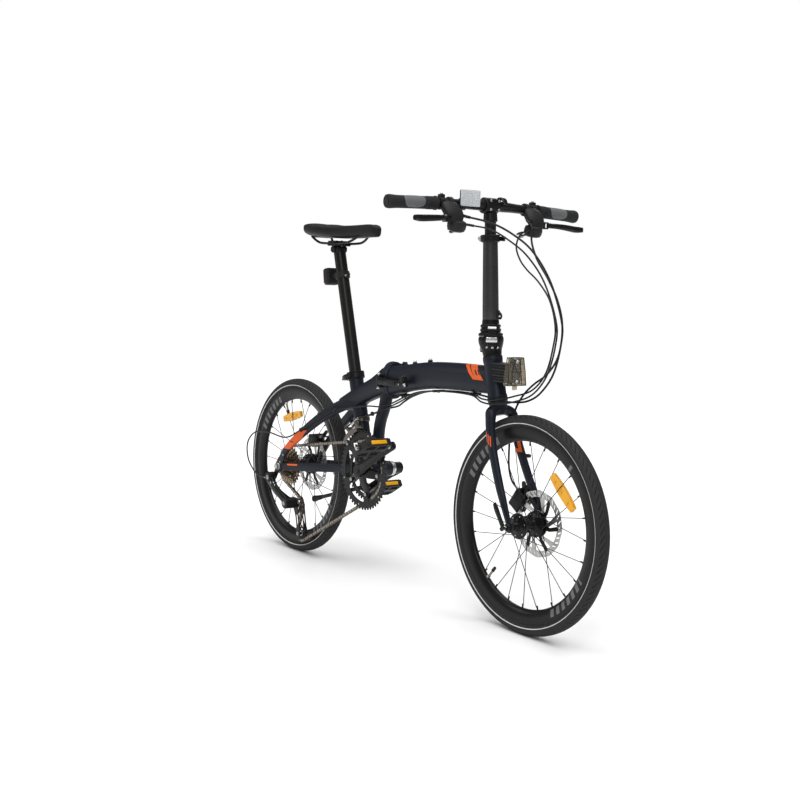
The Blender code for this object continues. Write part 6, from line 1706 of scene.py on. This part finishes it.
def make_front_derailleur():
    """Dark plated cage over the large ring, on a clamp band with its link and the cable's arm."""
    piece = Piece("front_derailleur_cage", "rear_half", "bright_steel", ["front_derailleur"])
    for y, outer, start, end, deep in ((-0.0562, 0.1185, 108, 140, 0.015),
            (-0.0355, 0.1165, 114, 140, 0.02)):
        line = [polar_point(outer - deep / 2, start + (end - start) * k / 10) for k in range(11)]
        halves = [deep / 2 * (0.72 + 0.28 * math.sin(math.pi * k / 10)) for k in range(11)]
        piece.add(plate([strip(line, halves)], 0.0014, 0.0004), DARK_METAL,
            upright(CRANK_AXIS + Y_AXIS * y))
    for angle, radius in ((110, 0.119), (140, 0.096), (126, 0.12)):
        x, z = polar_point(radius, angle)
        piece.add(rod(0.021, 0.003, steps=16), SATIN_STEEL,
            at(CRANK_AXIS + Vector((x, -0.0458, z)), Y_AXIS))
    x, z = polar_point(0.1225, 126)
    bridge = CRANK_AXIS + Vector((x, -0.044, z))
    piece.add(box((0.024, 0.025, 0.008), 0.002, 2), DARK_METAL, turned(bridge, y_degrees=30))
    for dx, dz in ((0.0, 0.0), (-0.009, 0.011)):
        start = bridge + Vector((dx, 0.006, dz + 0.001))
        piece.add(skin([(start, 0.005, 0.0055), (start + Vector((0.004, 0.008, 0.01)), 0.0042, 0.0048),
            (start + Vector((0.012, 0.016, 0.02)), 0.005, 0.0055)], oval(20, 3.0), 0.003), SATIN_STEEL)
    piece.add(box((0.02, 0.018, 0.024), 0.004, 3), DARK_METAL,
        turned((-0.156, -0.028, 0.418), y_degrees=-15))
    band = seat_point(0.13)
    piece.add(collar(0.014, 0.0202, 0.0232, 0.001), DARK_METAL, at(band, SEAT_DIRECTION))
    piece.add(box((0.012, 0.014, 0.012), 0.002, 2), DARK_METAL, turned(band + Vector((-0.008, 0.024, 0))))
    piece.add(bolt(0.0034, 0.003), DARK_METAL, at(band + Vector((-0.014, 0.025, 0)), -X_AXIS))
    piece.add(skin([((-0.158, -0.03, 0.42), 0.006, 0.0036), ((-0.168, -0.031, 0.417), 0.005, 0.0032),
        ((-0.176, -0.0305, 0.412), 0.005, 0.0032)], oval(20, 3.0), 0.003), DARK_METAL)
    piece.add(bolt(0.0036, 0.003), SATIN_STEEL, at((-0.174, -0.0345, 0.413), -Y_AXIS))
    piece.make()


def make_main_latch():
    pivot = pivot_of("frame_latch_open")
    piece = Piece("frame_latch_handle", "main_latch", "black_alloy", ["frame_latch_lever"])
    piece.add(rod(0.03, 0.0058, chamfer=0.0008, steps=28), BLACK, at(pivot, Z_AXIS))
    piece.add(skin([((-0.053, -0.04, 0.548), 0.0048, 0.01), ((-0.02, -0.0405, 0.5478), 0.005, 0.0092),
        ((0.025, -0.04, 0.548), 0.005, 0.0086), ((0.048, -0.0395, 0.549), 0.005, 0.0086),
        ((0.07, -0.0385, 0.55), 0.004, 0.0078)], oval(32, 3.4), 0.004), BLACK_GLOSS)
    piece.add(box((0.042, 0.003, 0.01), 0.0012, 2), PLASTIC, turned((0.004, -0.0455, 0.548)))
    piece.add(rod(0.013, 0.0106, 0.01, 0.002, 40), BLACK_GLOSS, at((0.057, -0.041, 0.563), -Y_AXIS))
    piece.add(rod(0.004, 0.0066, 0.0062, 0.0008, 28), PLASTIC, at((0.057, -0.0475, 0.563), -Y_AXIS))
    piece.add(bolt(0.0046, 0.003), STEEL, at((0.066, -0.0425, 0.5475), -Y_AXIS))
    piece.add(bolt(0.0026, 0.0016), SATIN_STEEL, at((0.042, -0.044, 0.547), -Y_AXIS))
    piece.make()


def make_latch_catch():
    """Bolt that the main latch hooks over."""
    catch = Piece("frame_latch_catch", "rear_half", "bright_steel")
    catch.add(rod(0.036, 0.003, steps=20), SATIN_STEEL, at(LATCH_CATCH))
    for way in (1, -1):
        catch.add(bolt(0.0052, 0.0034), STEEL, at(LATCH_CATCH + Z_AXIS * way * 0.018, way * Z_AXIS))
        catch.add(box((0.011, 0.016, 0.008), 0.0016, 2), BLACK,
            turned(LATCH_CATCH + Vector((0, 0.0065, way * 0.0135))))
    catch.make()


def make_kickstand():
    pivot = pivot_of("kickstand_fold")
    axis = -axis_of("kickstand_fold")
    piece = Piece("kickstand_leg", "stand", "bright_steel", ["kickstand"])
    low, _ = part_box("kickstand")
    root = pivot + axis * 0.008
    way = Vector((-0.9585, 0, -0.285)).normalized()
    length = (low[0] - root.x) / way.x - 0.002
    piece.add(skin([(root, 0.0075, 0.0095), (root + way * 0.02, 0.007, 0.0085),
        (root + way * 0.06, 0.0055, 0.0062), (root + way * (length - 0.03), 0.0052, 0.0055)],
        oval(28, 2.2)), BLACK)
    piece.add(rod(0.012, 0.01, 0.0092, 0.0014, 32), BLACK, at(root, axis))
    piece.add(skin([(root + way * (length - 0.04), 0.0066, 0.0068),
        (root + way * (length - 0.018), 0.0076, 0.008), (root + way * (length - 0.004), 0.0094, 0.0098),
        (root + way * length, 0.0086, 0.009)], oval(28, 2.4), 0.003), PLASTIC)
    piece.add(bolt(0.0042, 0.0034), SATIN_STEEL, at(root + axis * 0.006, axis))
    piece.make()


# ---------------------------------------------------------------- cables

BRAKE_LINE, SHIFT_LINE = 0.0025, 0.0021
FRONT_BRAKE = [(0.35, 0.099, 0.968), (0.372, 0.094, 0.953), (0.382, 0.086, 0.918), (0.412, 0.078, 0.876),
    (0.462, 0.07, 0.829), (0.505, 0.063, 0.778), (0.531, 0.056, 0.722), (0.53, 0.05, 0.657),
    (0.501, 0.047, 0.612), (0.452, 0.0485, 0.581), (0.414, 0.052, 0.552), (0.39, 0.0505, 0.515),
    (0.3845, 0.043, 0.47), (0.3885, 0.037, 0.425), (0.392, 0.0355, 0.38), (0.4, 0.038, 0.348),
    (0.415, 0.041, 0.331), (0.424, 0.0425, 0.326)]
REAR_BRAKE = [(0.35, -0.099, 0.968), (0.386, -0.05, 0.955), (0.42, -0.014, 0.932), (0.463, 0.014, 0.893),
    (0.507, 0.034, 0.824), (0.542, 0.042, 0.735), (0.546, 0.04, 0.682), (0.53, 0.036, 0.613),
    (0.492, 0.034, 0.565), (0.45, 0.034, 0.542), (0.405, 0.033, 0.5345), (0.36, 0.027, 0.5345),
    (0.3, 0.013, 0.543), (0.2, 0.012, 0.5425), (0.1, 0.012, 0.533), (0.035, 0.012, 0.515),
    (-0.01, 0.015, 0.495), (-0.045, 0.023, 0.48), (-0.095, 0.029, 0.468), (-0.15, 0.031, 0.452),
    (-0.21, 0.034, 0.432), (-0.29, 0.04, 0.404), (-0.36, 0.048, 0.368), (-0.41, 0.0475, 0.352),
    (-0.445, 0.0465, 0.346), (-0.466, 0.0465, 0.343)]
FRONT_SHIFT = [(0.362, 0.096, 0.948), (0.34, 0.086, 0.934), (0.338, 0.077, 0.905), (0.36, 0.071, 0.874),
    (0.392, 0.066, 0.85), (0.44, 0.06, 0.822), (0.49, 0.052, 0.779), (0.522, 0.042, 0.722),
    (0.531, 0.03, 0.675), (0.528, 0.014, 0.615), (0.503, -0.002, 0.574), (0.462, -0.02, 0.556),
    (0.41, -0.033, 0.542), (0.36, -0.029, 0.54), (0.3, -0.006, 0.543), (0.2, 0.0, 0.5425),
    (0.1, 0.0, 0.533), (0.035, 0.0, 0.514), (-0.005, -0.01, 0.493), (-0.04, -0.026, 0.474),
    (-0.09, -0.03, 0.456), (-0.135, -0.031, 0.442), (-0.164, -0.03, 0.432)]
REAR_SHIFT = [(0.362, -0.096, 0.948), (0.394, -0.056, 0.939), (0.427, -0.026, 0.915), (0.463, 0.0, 0.88),
    (0.505, 0.018, 0.82), (0.541, 0.026, 0.733), (0.549, 0.02, 0.68), (0.545, 0.002, 0.612),
    (0.518, -0.016, 0.565), (0.468, -0.032, 0.543), (0.412, -0.038, 0.533), (0.36, -0.032, 0.533),
    (0.3, -0.014, 0.543), (0.2, -0.012, 0.5425), (0.1, -0.012, 0.533), (0.035, -0.012, 0.515),
    (-0.01, -0.02, 0.494), (-0.045, -0.033, 0.48), (-0.1, -0.037, 0.476), (-0.17, -0.04, 0.465),
    (-0.24, -0.05, 0.45), (-0.31, -0.066, 0.418), (-0.38, -0.074, 0.38), (-0.45, -0.081, 0.35),
    (-0.54, -0.088, 0.355), (-0.615, -0.09, 0.345), (-0.655, -0.091, 0.308), (-0.648, -0.091, 0.26),
    (-0.605, -0.0905, 0.225), (-0.564, -0.09, 0.218), (-0.537, -0.089, 0.22)]


def first_index(route, test):
    return next((i for i, p in enumerate(route) if test(p)), len(route) - 1)


def make_cable(name, route, radius, replaced, crosses_frame):
    """Housing cut where it passes from one body to the next; the runs that span a joint ride on no body."""
    smooth = [Vector(p) for p in spread(route, 0.006)]
    high = first_index(smooth, lambda p: p.z < 0.88)
    middle = first_index(smooth, lambda p: p.z < 0.65)
    cuts = [0, high, middle]
    bends = [("cockpit", "post_body", (0, 0, 0.955), (0, 0, 0.885)),
        ("post_body", "steering_body", (0, 0, 0.86), (0, 0, 0.66))]
    if crosses_frame:
        head = first_index(smooth, lambda p: p.z < 0.6 and p.x < 0.38)
        hinge = first_index(smooth, lambda p: p.x < 0.03)
        past = first_index(smooth, lambda p: p.x < -0.11)
        cuts += [head, hinge, past]
        bends += [("steering_body", "front_half", (0.5, 0, 0), (0.4, 0, 0)),
            ("front_half", None, None, None), ("front_half", "rear_half", (0.02, 0, 0), (-0.1, 0, 0)),
            ("rear_half", None, None, None)]
    else:
        bends += [("steering_body", None, None, None)]
    cuts.append(len(smooth) - 1)
    for k, (first, second, start, end) in enumerate(bends):
        run = smooth[cuts[k]:cuts[k + 1] + 1]
        piece = Piece(f"{name}_{k + 1}", first, "black_plastic", replaced if k == 0 else ())
        piece.add(wire(run, radius, 12, 1.0), HOUSING)
        if k == 0:
            piece.add(rod(0.015, radius + 0.001, chamfer=0.0004, steps=16), BLACK_GLOSS,
                span(run[0], run[2]))
        if k == len(bends) - 1:
            piece.add(rod(0.013, radius + 0.001, chamfer=0.0004, steps=16), SATIN_STEEL,
                span(run[-3], run[-1]))
        if second is None:
            piece.make()
        else:
            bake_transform(piece.make(ride=False))


def make_cables():
    make_cable("front_brake_line", FRONT_BRAKE, BRAKE_LINE, ["front_brake_cable"], False)
    make_cable("rear_brake_line", REAR_BRAKE, BRAKE_LINE, ["rear_brake_loop", "rear_brake_cable"], True)
    make_cable("front_shift_line", FRONT_SHIFT, SHIFT_LINE, ["front_shift_cable"], True)
    make_cable("rear_shift_line", REAR_SHIFT, SHIFT_LINE, ["rear_shift_loop", "rear_shift_cable"], True)
    inner = Piece("front_derailleur_wire", "rear_half", "bright_steel")
    inner.add(wire([(-0.164, -0.03, 0.432), (-0.17, -0.0312, 0.42), (-0.174, -0.033, 0.412)], 0.0006, 6),
        STEEL)
    inner.make()
    clips = Piece("cable_clips", "rear_half", "black_plastic")
    for point in ((-0.24, -0.05, 0.45), (-0.38, -0.0735, 0.38), (-0.29, 0.041, 0.41),
            (-0.09, -0.03, 0.456)):
        clips.add(box((0.009, 0.009, 0.01), 0.0018, 2), PLASTIC, turned(point, y_degrees=28))
    clips.make()
    tie = Piece("cable_tie_front", "steering_body", "black_plastic")
    for point in ((0.4165, 0.075, 0.405), (0.427, 0.073, 0.465)):
        tie.add(box((0.01, 0.011, 0.008), 0.0018, 2), PLASTIC, turned(point, y_degrees=14))
    tie.make()


# ---------------------------------------------------------------- stage, lights and camera

def make_stage():
    """Plain pale floor, wide enough to fill the foreground of every view."""
    floor = surface("studio_floor", (0.9, 0.9, 0.905), 0.75, 0.0, 3, mottle=0.004, relief=0.01)
    bm = bmesh.new()
    places = (-14.0, -6.0, 0.0, 6.0, 14.0)
    rows = [[bm.verts.new((x, y, 0.0)) for x in places] for y in places]
    for lower, upper in zip(rows, rows[1:]):
        for i in range(len(places) - 1):
            bm.faces.new((lower[i], lower[i + 1], upper[i + 1], upper[i]))
    mesh = bpy.data.meshes.new("studio_floor")
    bm.to_mesh(mesh)
    bm.free()
    mesh.materials.append(floor)
    obj = bpy.data.objects.new("studio_floor", mesh)
    bpy.context.scene.collection.objects.link(obj)


def make_light(name, point, target, size, power):
    data = bpy.data.lights.new(name, "AREA")
    data.shape = "RECTANGLE"
    data.size, data.size_y = size
    data.energy = power
    obj = bpy.data.objects.new(name, data)
    bpy.context.scene.collection.objects.link(obj)
    way = Vector(target) - Vector(point)
    obj.matrix_world = Matrix.Translation(Vector(point)) @ way.to_track_quat("-Z", "Y").to_matrix().to_4x4()


def make_sun(name, direction, strength, angle):
    data = bpy.data.lights.new(name, "SUN")
    data.energy = strength
    data.angle = math.radians(angle)
    obj = bpy.data.objects.new(name, data)
    bpy.context.scene.collection.objects.link(obj)
    obj.matrix_world = Vector(direction).to_track_quat("-Z", "Y").to_matrix().to_4x4()


def make_world():
    """White as seen by the camera, and a dimmer white for the light that it gives."""
    world = bpy.data.worlds.new("studio")
    world.use_nodes = True
    tree = world.node_tree
    dim = tree.nodes["Background"]
    dim.inputs["Color"].default_value = (1.0, 1.0, 1.0, 1)
    dim.inputs["Strength"].default_value = 0.2  # keeps dark paint dark
    bright = node(tree, "ShaderNodeBackground", {"Color": (1.0, 1.0, 1.0, 1), "Strength": 1.0})
    seen = node(tree, "ShaderNodeLightPath").outputs["Is Camera Ray"]
    mixed = node(tree, "ShaderNodeMixShader", {0: seen, 1: dim.outputs[0], 2: bright.outputs[0]})
    tree.links.new(mixed.outputs[0], tree.nodes["World Output"].inputs["Surface"])
    bpy.context.scene.world = world
    bpy.context.scene.view_settings.view_transform = "Standard"


def make_camera():
    """Camera to the front right of the bicycle, at the height of the frame's top."""
    place = (2.533, -1.894, 0.808)
    right = Vector((0.5945, 0.8033, 0.0347)).normalized()
    back = Vector((0.798, -0.5948, 0.0966))
    back = (back - right * back.dot(right)).normalized()
    turn = Matrix((right, back.cross(right), back)).transposed().to_4x4()
    data = bpy.data.cameras.new("view")
    data.lens = 54.13
    data.sensor_width = 36.0
    camera = bpy.data.objects.new("view", data)
    bpy.context.scene.collection.objects.link(camera)
    camera.matrix_world = shift(*place) @ turn
    bpy.context.scene.camera = camera


for make in (make_wheels, make_rear_frame, make_hanger, make_bottom_bracket, make_front_frame, make_headset,
        make_hinge_bolt, make_luggage_block, make_fork, make_calipers, make_front_axle, make_rear_axle,
        make_front_lever, make_post_base, make_handlepost, make_post_collar, make_post_latch, make_bar,
        make_stem, make_grips, make_controls, make_bar_reflector, make_seatpost, make_seat_clamp,
        make_clamp_lever, make_saddle, make_rails, make_tail_light, make_rings, make_cranks, make_pedals,
        make_cassette, make_chain, make_rear_derailleur, make_cage, make_pulleys, make_front_derailleur,
        make_main_latch, make_latch_catch, make_kickstand, make_cables, make_stage, make_world):
    make()
make_sun("overhead", (-0.1, 0.12, -1.0), 3.3, 75)
make_light("key", (3.2, -2.6, 3.0), (0.0, 0.0, 0.45), (1.2, 1.2), 32)
make_light("side", (-2.8, -3.0, 2.0), (0.0, 0.0, 0.45), (1.2, 1.6), 16)
make_light("rim", (-2.0, 3.2, 2.6), (0.0, 0.0, 0.5), (1.6, 1.4), 20)
make_camera()
